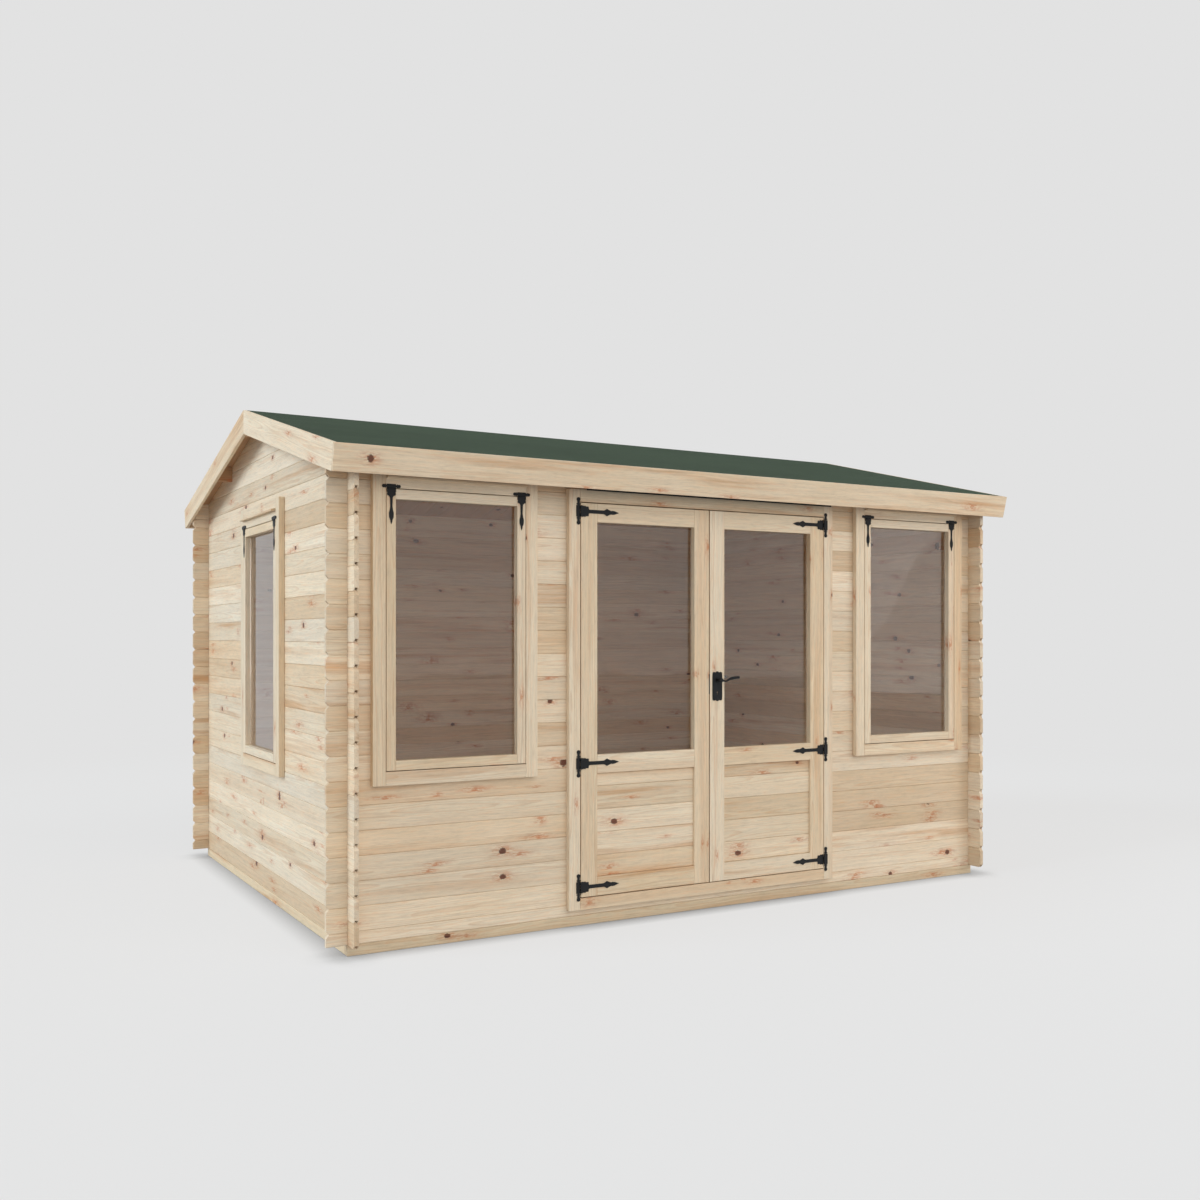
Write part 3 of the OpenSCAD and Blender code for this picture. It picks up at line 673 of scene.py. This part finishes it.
class Finish(Enum):
    """The finishes of the cabin, each with the slot of the record that it belongs to."""

    LOG = ("log_wood", PineFinish("pine_logs", pale=linear(238, 225, 203), tint=0.08, warm=0.15))
    JOINERY = (
        "joinery_wood",
        PineFinish("pine_joinery", knots=Knots(0.9, 1.4, 0.10, 0.009),
                   smudges=Knots(0.5, 1.0, 0.22, 0.008, 4.0), tint=0.04),
    )
    EDGE = ("edge_wood", PineFinish("pine_edge_boards", pale=linear(238, 223, 199), tint=0.03))
    PANEL = ("panel_wood", PineFinish("pine_panels", streak=0.95))
    ROOF = ("roof_wood", PineFinish("spruce_roof", linear(205, 170, 135), linear(186, 146, 108)))
    FLOOR = ("floor_wood", PineFinish("spruce_floor", linear(216, 190, 156), linear(198, 166, 126)))
    BEARER = ("bearer_wood", PineFinish("sawn_bearers", pale=linear(226, 208, 178), rough=0.75))
    FELT = ("felt", FeltFinish())
    IRON = ("black_iron", IronFinish())
    STEEL = ("lock_steel", SteelFinish())
    GLASS = ("clear_glass", GlassFinish())

    @property
    def slot(self) -> str:
        """Name of the record's slot."""
        return self.value[0]

    def material(self) -> bpy.types.Material:
        """Gives the finish's material, built on the first call."""
        found = bpy.data.materials.get(self.value[1].name)
        return found or self.value[1].material()


# ---------------- meshes

# Points of a frame node that are nearer than this are one point.
SAME_POINT = 2e-5
# Neighbouring faces that turn by less than FLAT are one face, and by more than SHARP meet in an arris.
FLAT = math.radians(0.6)
SHARP = math.radians(28)
# A face is an end cut when the grain comes out of it this steeply.
END_GRAIN = 0.7


def islands(count: int, edges: np.ndarray) -> np.ndarray:
    """Labels the separate solids of a mesh.

    Each point starts with its own number, and the lower number spreads over every edge until none changes.

    Args:
        count: number of points.
        edges: pairs of point numbers.

    Returns:
        A label for each point, 0 to the number of solids less one.
    """
    labels = np.arange(count)
    while True:
        low = np.minimum(labels[edges[:, 0]], labels[edges[:, 1]])
        spread = labels.copy()
        np.minimum.at(spread, edges[:, 0], low)
        np.minimum.at(spread, edges[:, 1], low)
        spread = spread[spread]
        if np.array_equal(spread, labels):
            break
        labels = spread
    return np.unique(labels, return_inverse=True)[1]


def read(items: bpy.types.bpy_prop_collection, key: str, width: int, kind: type) -> np.ndarray:
    """Reads one property of all points, edges, faces or corners of a mesh.

    Args:
        items: the mesh's collection.
        key: the property's name.
        width: numbers in one value.
        kind: their numpy type.

    Returns:
        An array of one row for each item.
    """
    values = np.empty(len(items) * width, kind)
    items.foreach_get(key, values)
    return values.reshape(-1, width)


def set_attribute(mesh: bpy.types.Mesh, name: str, kind: str, domain: str, values: np.ndarray) -> None:
    """Writes a mesh attribute.

    Args:
        mesh: the mesh.
        name: the attribute's name.
        kind: FLOAT or FLOAT_VECTOR.
        domain: POINT or FACE.
        values: one row for each point or face.
    """
    made = mesh.attributes.new(name, kind, domain)
    made.data.foreach_set("value" if kind == "FLOAT" else "vector", values.astype(np.float32).ravel())


def make_mesh(name: str, points: np.ndarray, faces: list) -> bpy.types.Mesh:
    """Makes a mesh whose faces point outwards.

    Args:
        name: the mesh's name.
        points: n x 3 places.
        faces: lists of point numbers.

    Returns:
        The mesh.
    """
    mesh = bpy.data.meshes.new(name)
    mesh.from_pydata(points.tolist(), [], faces)
    work = bmesh.new()
    work.from_mesh(mesh)
    bmesh.ops.recalc_face_normals(work, faces=work.faces)
    work.to_mesh(mesh)
    work.free()
    return mesh


def eased_copy(node: bpy.types.Object, name: str, arris: float) -> bpy.types.Mesh:
    """Copies the solids of a frame node, joins their loose triangles and eases their sharp edges.

    Args:
        node: the frame's object.
        name: name of the new mesh.
        arris: width of the eased edge.

    Returns:
        The new mesh.
    """
    work = bmesh.new()
    work.from_mesh(node.data)
    bmesh.ops.remove_doubles(work, verts=work.verts, dist=SAME_POINT)
    bmesh.ops.dissolve_limit(
        work, angle_limit=FLAT, use_dissolve_boundaries=False, verts=work.verts, edges=work.edges
    )
    sharp = [e for e in work.edges if len(e.link_faces) == 2 and e.calc_face_angle() > SHARP]
    bmesh.ops.bevel(
        work, geom=sharp, offset=arris, offset_type="OFFSET", segments=1, profile=0.5,
        affect="EDGES", clamp_overlap=True,
    )
    mesh = bpy.data.meshes.new(name)
    work.to_mesh(mesh)
    work.free()
    mesh.validate()
    return mesh


@dataclass
class Sawing:
    """How timbers lie in the tree they were sawn from.

    Attributes:
        near: smallest distance from the tree's axis to a timber's middle, behind its face.
        far: largest such distance.
        aside: how far the axis may lie to either side of the middle.
        slope: angle of timbers that follow the roof's slopes, in degrees, or 0 for level and upright ones.
        shift: how much further along the tree the timbers are cut.
    """

    near: float = 0.025
    far: float = 0.075
    aside: float = 0.05
    slope: float = 0.0
    shift: float = 0.0

    # Where along the tree a timber's middle may lie.
    ALONG = (2, 90)

    def apply(self, mesh: bpy.types.Mesh, name: str) -> None:
        """Writes grain, tone and end_cut.

        A timber's longest side is its grain and its shortest its thickness. grain = (along + a random
        place in the tree, across + the axis's offset, behind + the axis's depth).

        Args:
            mesh: a mesh of one or more solids.
            name: the piece's name, which seeds the draws.
        """
        points = read(mesh.vertices, "co", 3, np.float32).astype(np.float64)
        normals = read(mesh.polygons, "normal", 3, np.float32).astype(np.float64)
        first = read(mesh.polygons, "loop_start", 1, np.int64)[:, 0]
        corner = read(mesh.loops, "vertex_index", 1, np.int64)[:, 0]
        labels = islands(len(points), read(mesh.edges, "vertices", 2, np.int64))
        owner = labels[corner[first]]
        count = labels.max() + 1
        if self.slope:
            middle = np.zeros(count)
            np.add.at(middle, labels, points[:, 1])
            side = np.sign(middle)
            normals = self.level(normals, side[owner])
            points = self.level(points, side[labels])

        low = np.full((count, 3), np.inf)
        high = np.full((count, 3), -np.inf)
        np.minimum.at(low, labels, points)
        np.maximum.at(high, labels, points)
        order = np.argsort(-(high - low), axis=1)
        rows = np.arange(len(points))[:, None]
        local = (points - (low + high)[labels] / 2)[rows, order[labels]]

        rng = draws(name)
        face = np.where(rng.random(count) < 0.5, -1.0, 1.0)
        axis = np.stack(
            [rng.uniform(*self.ALONG, count) + self.shift, rng.uniform(-self.aside, self.aside, count),
             face * rng.uniform(self.near, self.far, count)],
            axis=1,
        )
        set_attribute(mesh, "grain", "FLOAT_VECTOR", "POINT", local + axis[labels])
        set_attribute(mesh, "tone", "FLOAT_VECTOR", "POINT", rng.random((count, 3))[labels])
        along = normals[np.arange(len(normals)), order[owner, 0]]
        set_attribute(mesh, "end_cut", "FLOAT", "FACE", np.abs(along) > END_GRAIN)

    def level(self, vectors: np.ndarray, side: np.ndarray) -> np.ndarray:
        """Turns vectors about X by the roof's slope, one way in front of the ridge and the other behind it.

        Args:
            vectors: n x 3 values.
            side: -1 for a vector in front of the ridge and 1 for one behind it.

        Returns:
            The vectors as if their timbers lay level.
        """
        angle = np.radians(self.slope) * side
        y = vectors[:, 1] * np.cos(angle) - vectors[:, 2] * np.sin(angle)
        z = vectors[:, 1] * np.sin(angle) + vectors[:, 2] * np.cos(angle)
        return np.stack([vectors[:, 0], y, z], axis=1)


@dataclass
class Piece:
    """A finished piece: its finish, the body it rides on and what it stands for."""

    name: str
    finish: Finish
    body: str = "cabin"
    replaces: tuple[str, ...] = ()

    def place(self, mesh: bpy.types.Mesh) -> None:
        """Puts the mesh into the scene as this piece and reports it.

        Args:
            mesh: the piece's mesh, in the shared frame.
        """
        mesh.materials.clear()
        mesh.materials.append(self.finish.material())
        made = add_object(self.name, mesh)
        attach(made, self.body)
        if self.replaces:
            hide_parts(*self.replaces)
        LOG.info("%s: %d faces", self.name, len(mesh.polygons))


# ---------------- timbers and boards


@dataclass
class Timbers:
    """Timbers that keep the frame's shapes, with eased arrises and grain of their own.

    Attributes:
        nodes: names of the frame's nodes.
        finish: their finish.
        body: the body they ride on.
        arris: width of an eased edge.
        sawing: how they lie in the tree.
    """

    nodes: tuple[str, ...]
    finish: Finish
    body: str = "cabin"
    arris: float = 0.0012
    sawing: Sawing = field(default_factory=Sawing)

    def build(self, frame: dict) -> None:
        """Builds one piece for each node.

        Args:
            frame: the loaded frame.
        """
        for name in self.nodes:
            mesh = eased_copy(frame["nodes"][name], name + "_timber", self.arris)
            self.sawing.apply(mesh, name)
            Piece(name + "_timber", self.finish, self.body, (name,)).place(mesh)


def board_solids(
    edges: np.ndarray, thick: float, length: tuple[float, float], bevel: float = 0.003, gap: float = 0.0008
) -> tuple[np.ndarray, list]:
    """Makes boards that lie side by side.

    Each board's section is a rectangle with a small bevel along its face edges, carried along its length.

    Args:
        edges: middles of the joints between the boards, with both outer edges.
        thick: thickness of the boards.
        length: where the boards start and end, along.
        bevel: width of the bevel along each face edge.
        gap: gap between two boards.

    Returns:
        Points (along, across, depth) and the faces.
    """
    inset = np.array([bevel, 0, 0, bevel])
    left = (edges[:-1] + gap / 2)[:, None] + inset
    right = (edges[1:] - gap / 2)[:, None] - inset
    across = np.concatenate([left, right[:, ::-1]], axis=1)
    face = np.array([0, bevel, thick - bevel, thick])
    depth = np.broadcast_to(np.concatenate([face, face[::-1]]), across.shape)
    sections = np.stack([across, depth], axis=2)

    boards, corners, _ = sections.shape
    rings = np.repeat(sections[:, None], 2, axis=1)
    along = np.broadcast_to(np.array(length)[None, :, None, None], (boards, 2, corners, 1))
    points = np.concatenate([along, rings], axis=3).reshape(-1, 3)
    first = np.arange(boards)[:, None] * 2 * corners
    here = np.arange(corners)[None, :]
    after = (here + 1) % corners
    sides = [first + here, first + after, first + corners + after, first + corners + here]
    ends = np.concatenate([first + here[:, ::-1], first + corners + here], axis=0)
    return points, [*np.stack(sides, axis=2).reshape(-1, 4).tolist(), *ends.tolist()]


@dataclass
class Boarding:
    """Boards that fill the place of one box-shaped solid of the frame.

    Attributes:
        node: the frame's node that the boards stand for.
        finish: their finish.
        cover: width that one board covers.
        along: axis along the boards, 0 to 2 for X to Z.
        across: axis from board to board.
        body: the body they ride on.
        bevel: width of the bevel along each face edge.
        start: how far the first joint lies from the low side.
    """

    node: str
    finish: Finish
    cover: float
    along: int
    across: int
    body: str = "cabin"
    bevel: float = 0.003
    start: float = 0.0

    # The narrowest strip that is still a board of its own.
    NARROWEST = 0.012

    def build(self, frame: dict) -> None:
        """Builds the boards inside the box of their node.

        Args:
            frame: the loaded frame; not used.
        """
        low, high = (np.array(c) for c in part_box(self.node))
        depth_axis = 3 - self.along - self.across
        edges = np.arange(low[self.across] + self.start, high[self.across], self.cover)
        edges = np.unique(np.concatenate([[low[self.across]], edges, [high[self.across]]]))
        edges = edges[np.concatenate([[True], np.diff(edges) > self.NARROWEST])]
        edges[-1] = high[self.across]
        thick = (high - low)[depth_axis]
        points, faces = board_solids(edges, thick, (low[self.along], high[self.along]), self.bevel)
        placed = np.empty_like(points)
        placed[:, self.along] = points[:, 0]
        placed[:, self.across] = points[:, 1]
        placed[:, depth_axis] = points[:, 2] + low[depth_axis]
        mesh = make_mesh(self.node + "_set", placed, faces)
        Sawing(near=0.02, far=0.09).apply(mesh, self.node)
        Piece(self.node + "_set", self.finish, self.body, (self.node,)).place(mesh)


@dataclass
class RoofBoards:
    """Boards that run down each slope of the roof from the ridge, with a bevelled joint between them.

    A point at distance s down the slope and depth d under the top of the felt lies at
    y = -(s cos a - d sin a) and z = ridge - s sin a - d cos a, and the back slope mirrors y.

    Attributes:
        finish: their finish.
        cover: width that one board covers.
        felt: thickness of the felt over them.
        thick: thickness of the boards.
        ridge_gap: how far the boards of each slope stay from the ridge's middle.
        eaves_gap: how far their feet stay behind the fascia.
    """

    finish: Finish
    cover: float = 0.114
    felt: float = 0.003
    thick: float = 0.018
    ridge_gap: float = 0.0003
    eaves_gap: float = 0.003

    # The narrowest board at the verge, and the share of the thickness that the plumb foot costs the run.
    NARROWEST = 0.03
    PLUMB = 0.2

    def build(self, frame: dict) -> None:
        """Builds the boards of both slopes inside the boxes of their nodes.

        Args:
            frame: the loaded frame; not used.
        """
        angle = math.radians(ROOF_PITCH)
        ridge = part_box("roof_felt")[1].z
        for node, mirror in (("front_roof_boards", 1.0), ("back_roof_boards", -1.0)):
            low, high = (np.array(c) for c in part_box(node))
            reach = max(abs(low[1]), abs(high[1])) / math.cos(angle)
            run = reach - self.thick * math.tan(angle) * self.PLUMB
            edges = np.append(np.arange(low[0], high[0] - self.NARROWEST, self.cover), high[0])
            points, faces = board_solids(edges, self.thick, (0.0, run))
            depth = points[:, 2] + self.felt
            down = np.where(points[:, 0] > 0, run - self.eaves_gap, depth * math.tan(angle))
            y = -(down * math.cos(angle) - depth * math.sin(angle)) - self.ridge_gap
            z = ridge - down * math.sin(angle) - depth * math.cos(angle)
            mesh = make_mesh(node + "_set", np.stack([points[:, 1], mirror * y, z], axis=1), faces)
            Sawing(near=0.02, far=0.09, slope=ROOF_PITCH).apply(mesh, node)
            Piece(node + "_set", self.finish, "cabin", (node,)).place(mesh)


# ---------------- ironwork, felt and glass


@dataclass
class Ironwork:
    """Straps, plates and the lever, with eased edges and black coat.

    Attributes:
        nodes: names of the frame's nodes, each with the body that it rides on.
        arris: width of an eased edge.
    """

    nodes: tuple[tuple[str, str], ...]
    arris: float = 0.0007

    def build(self, frame: dict) -> None:
        """Builds one piece for each node.

        Args:
            frame: the loaded frame.
        """
        for name, body in self.nodes:
            mesh = eased_copy(frame["nodes"][name], name + "_forged", self.arris)
            Piece(name + "_forged", Finish.IRON, body, (name,)).place(mesh)


@dataclass
class Plain:
    """Nodes that keep the frame's own mesh and only get a finish."""

    nodes: tuple[str, ...]
    finish: Finish

    def build(self, frame: dict) -> None:
        """Sets the finish of each node.

        Args:
            frame: the loaded frame.
        """
        for name in self.nodes:
            node = frame["nodes"][name]
            for slot in node.material_slots:
                slot.material = self.finish.material()
            LOG.info("%s: %s", name, self.finish.name)


# ---------------- studio


@dataclass(frozen=True)
class Lamp:
    """A broad far lamp, whose light is the same all over the cabin.

    Attributes:
        name: the lamp's name.
        turn: direction it hangs in, from the front towards +X, in degrees.
        height: how high it hangs over the floor, in degrees.
        spread: how wide it looks from the cabin, in degrees.
        strength: light on a surface that faces it, in watts per square metre.
        colour: its colour.
    """

    name: str
    turn: float
    height: float
    spread: float
    strength: float
    colour: Colour

    def hang(self) -> None:
        """Puts the lamp into the scene. Glass and iron don't mirror it."""
        light = bpy.data.lights.new(self.name, "SUN")
        light.angle = math.radians(self.spread)
        light.energy = self.strength
        light.color = self.colour
        made = add_object(self.name, light)
        made.visible_glossy = False
        made.rotation_euler = (math.radians(90 - self.height), 0.0, math.radians(self.turn))


@dataclass(frozen=True)
class Softbox:
    """A square softbox beside the cabin, turned to its middle: its place, side and power in watts."""

    name: str
    place: Point
    width: float
    power: float

    def hang(self) -> None:
        """Puts the softbox into the scene. Glass and iron don't mirror it."""
        light = bpy.data.lights.new(self.name, "AREA")
        light.size = self.width
        light.energy = self.power
        made = add_object(self.name, light)
        made.visible_glossy = False
        made.location = self.place
        made.rotation_euler = Vector(self.place).to_track_quat("Z", "Y").to_euler()


@dataclass
class Studio:
    """Pale floor, soft lamps and the camera.

    Attributes:
        backdrop: brightness of the background.
        sky: colour of the soft light from all round.
        sky_level: its strength.
        camera_at: place of the camera.
        heading: direction that the camera looks in, in degrees from +Y towards +X.
        lens: focal length in millimetres on a 36 mm wide sensor.
        shift: how far the view is shifted up, in widths.
    """

    backdrop: Colour = linear(226, 226, 226)
    sky: Colour = (1.0, 0.985, 0.965)
    sky_level: float = 0.44
    camera_at: Point = (-3.6831, -6.7744, 1.4432)
    heading: float = 29.733
    lens: float = 36.34
    shift: float = 0.0307

    LAMPS = (
        Lamp("left_window_light", -97, 22, 36, 2.05, (0.78, 0.90, 1.0)),
        Lamp("front_fill_light", 8, 22, 80, 1.36, (1.0, 0.985, 0.96)),
        Softbox("right_softbox", (4.9, -4.3, 2.3), 3.0, 42.0),
    )
    # The floor: its radius, corners of its rim, drop under the bearers, and grey of its surface.
    FLOOR_RADIUS = 40.0
    FLOOR_CORNERS = 96
    FLOOR_DROP = 0.0005
    FLOOR_GREY = (0.17, 0.17, 0.17)
    # Distances from the middle between which the floor fades into the background.
    FADE = (4.5, 10.0)
    # Reach of the painted contact shade: ambient occlusion darkens the floor's glow along the cabin's foot.
    PAINTED_SHADE_REACH = 0.14
    # The floor's own glow for rays that light other things, and how much more rays that are seen get.
    GLOW = 0.28
    GLOW_SEEN = 0.36

    def build(self) -> None:
        """Builds the floor, the world, the lamps and the camera."""
        self.floor()
        self.world()
        for lamp in self.LAMPS:
            lamp.hang()
        self.camera()
        bpy.context.scene.view_settings.view_transform = "Standard"

    def floor(self) -> None:
        """Lays the floor: a pale disc whose rim fades into the background.

        Points lie on a circle: x = r cos t, y = r sin t, z just under the bearers.
        """
        turns = np.linspace(0, 2 * np.pi, self.FLOOR_CORNERS, endpoint=False)
        rim = np.stack([np.cos(turns), np.sin(turns), np.zeros_like(turns)], axis=1) * self.FLOOR_RADIUS
        mesh = bpy.data.meshes.new("studio_floor")
        mesh.from_pydata((rim - [0, 0, self.FLOOR_DROP]).tolist(), [], [list(range(self.FLOOR_CORNERS))])
        mesh.materials.append(self.floor_material())
        add_object("studio_floor", mesh)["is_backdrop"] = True

    def floor_material(self) -> bpy.types.Material:
        """Builds and gives the floor's material: matt grey, with a glow that ambient occlusion darkens into
        painted contact shade along the cabin's foot.
        """
        g = Graph.material("studio_floor")
        x, y, _ = g.split(g.place())
        fade = g.step(g.length(x, y), *self.FADE)
        seen = g.unlit_rays()
        matt = g.node("BsdfDiffuse", {"Color": self.FLOOR_GREY})
        # Painted contact shade: ambient occlusion darkens the floor's glow near the cabin.
        painted_contact_shade = g.node("AmbientOcclusion", {"Distance": self.PAINTED_SHADE_REACH}, samples=8)
        level = g.times(painted_contact_shade.outputs["AO"], g.scaled(seen, self.GLOW_SEEN, self.GLOW))
        lift = g.node("Emission", {"Strength": level})
        lit = g.node("AddShader", {0: matt.outputs[0], 1: lift.outputs[0]})
        glow = g.node("Emission", {"Color": self.backdrop, "Strength": 1.0})
        return g.finish(g.node("MixShader", {0: g.times(fade, seen), 1: lit.outputs[0], 2: glow.outputs[0]}))

    def world(self) -> None:
        """Sets the soft light from all round, and the background that eyes, metal and glass see."""
        world = bpy.data.worlds.new("studio_world")
        bpy.context.scene.world = world
        g = Graph(world)
        soft = g.node("Background", {"Color": self.sky, "Strength": self.sky_level})
        seen = g.node("Background", {"Color": self.backdrop, "Strength": 1.0})
        g.finish(g.node("MixShader", {0: g.unlit_rays(), 1: soft.outputs[0], 2: seen.outputs[0]}))

    def camera(self) -> None:
        """Sets up the level camera."""
        data = bpy.data.cameras.new("studio_camera")
        data.lens = self.lens
        data.sensor_width = 36.0
        data.shift_y = self.shift
        made = add_object("studio_camera", data)
        made.location = self.camera_at
        made.rotation_euler = (math.pi / 2, 0.0, -math.radians(self.heading))
        bpy.context.scene.camera = made


# ---------------- the cabin


@dataclass
class Cabin:
    """The whole cabin, sub-assembly by sub-assembly.

    Attributes:
        frame: the loaded frame.
        floor_cover: width that a floor board covers.
        panel_cover: width that a board of a door's lower panel covers.
        panel_start: height of the first joint in that panel.
        fascia_shift: how much further along the tree the fascias are cut, which brings a knot near an end.
    """

    frame: dict
    floor_cover: float = 0.095
    panel_cover: float = 0.116
    panel_start: float = 0.106
    fascia_shift: float = 0.32

    def parts(self) -> list[Timbers | Boarding | RoofBoards | Plain | Ironwork]:
        """Lists the sub-assemblies in the order they are built."""
        return [
            Timbers(("bearers", "floor_joists"), Finish.BEARER, arris=0.0015),
            Boarding("floor", Finish.FLOOR, self.floor_cover, along=0, across=1, bevel=0.0015),
            Timbers(
                ("front_wall_foot", "front_wall_left", "front_wall_right", "front_wall_head", "left_wall",
                 "left_gable", "right_wall", "right_gable", "back_wall"),
                Finish.LOG, arris=0.001,
            ),
            Timbers(("purlins",), Finish.ROOF),
            RoofBoards(Finish.ROOF),
            Plain(("roof_felt",), Finish.FELT),
            Timbers(("front_fascia", "back_fascia"), Finish.EDGE, sawing=Sawing(shift=self.fascia_shift)),
            Timbers(("left_bargeboards", "right_bargeboards"), Finish.EDGE, sawing=Sawing(slope=ROOF_PITCH)),
            Timbers(
                ("front_left_window_frame", "front_left_window_sash", "front_right_window_frame",
                 "front_right_window_sash", "side_window_frame", "side_window_sash", "drip_strips",
                 "door_frame"),
                Finish.JOINERY,
            ),
            Timbers(("left_door_leaf",), Finish.JOINERY, "left_door"),
            Timbers(("right_door_leaf",), Finish.JOINERY, "right_door"),
            self.door_panel("left_door"),
            self.door_panel("right_door"),
            Plain(
                ("front_left_window_glass", "front_right_window_glass", "side_window_glass",
                 "left_door_glass", "right_door_glass"),
                Finish.GLASS,
            ),
            Ironwork((
                ("window_hinges", "cabin"), ("door_hinge_plates", "cabin"), ("door_drip_rail", "cabin"),
                ("left_door_straps", "left_door"), ("right_door_straps", "right_door"),
                ("handle_plates", "right_door"), ("lever_handle", "lever"),
            )),
            Plain(("lock_forend",), Finish.STEEL),
        ]

    def door_panel(self, leaf: str) -> Boarding:
        """Gives the boarded lower panel of a door leaf.

        Args:
            leaf: name of the leaf and of the body that the panel rides on.

        Returns:
            The panel's boarding.
        """
        return Boarding(
            leaf + "_boards", Finish.PANEL, self.panel_cover, along=0, across=2, body=leaf,
            start=self.panel_start,
        )

    def build(self) -> None:
        """Builds every sub-assembly."""
        for part in self.parts():
            part.build(self.frame)


def corners(bounds: tuple) -> list[list[float]]:
    """Turns a box's two corners into plain lists."""
    return [[float(v) for v in corner] for corner in bounds]


def main() -> None:
    """Builds the cabin and its studio, and notes the sizes before and after."""
    logging.basicConfig(level=logging.INFO, format="%(name)s %(message)s")
    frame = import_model()
    before = corners(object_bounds())
    Cabin(frame).build()
    Studio().build()
    after = corners(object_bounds())
    LOG.info("frame box %s, visual box %s", before, after)


if __name__ == "__main__":
    main()
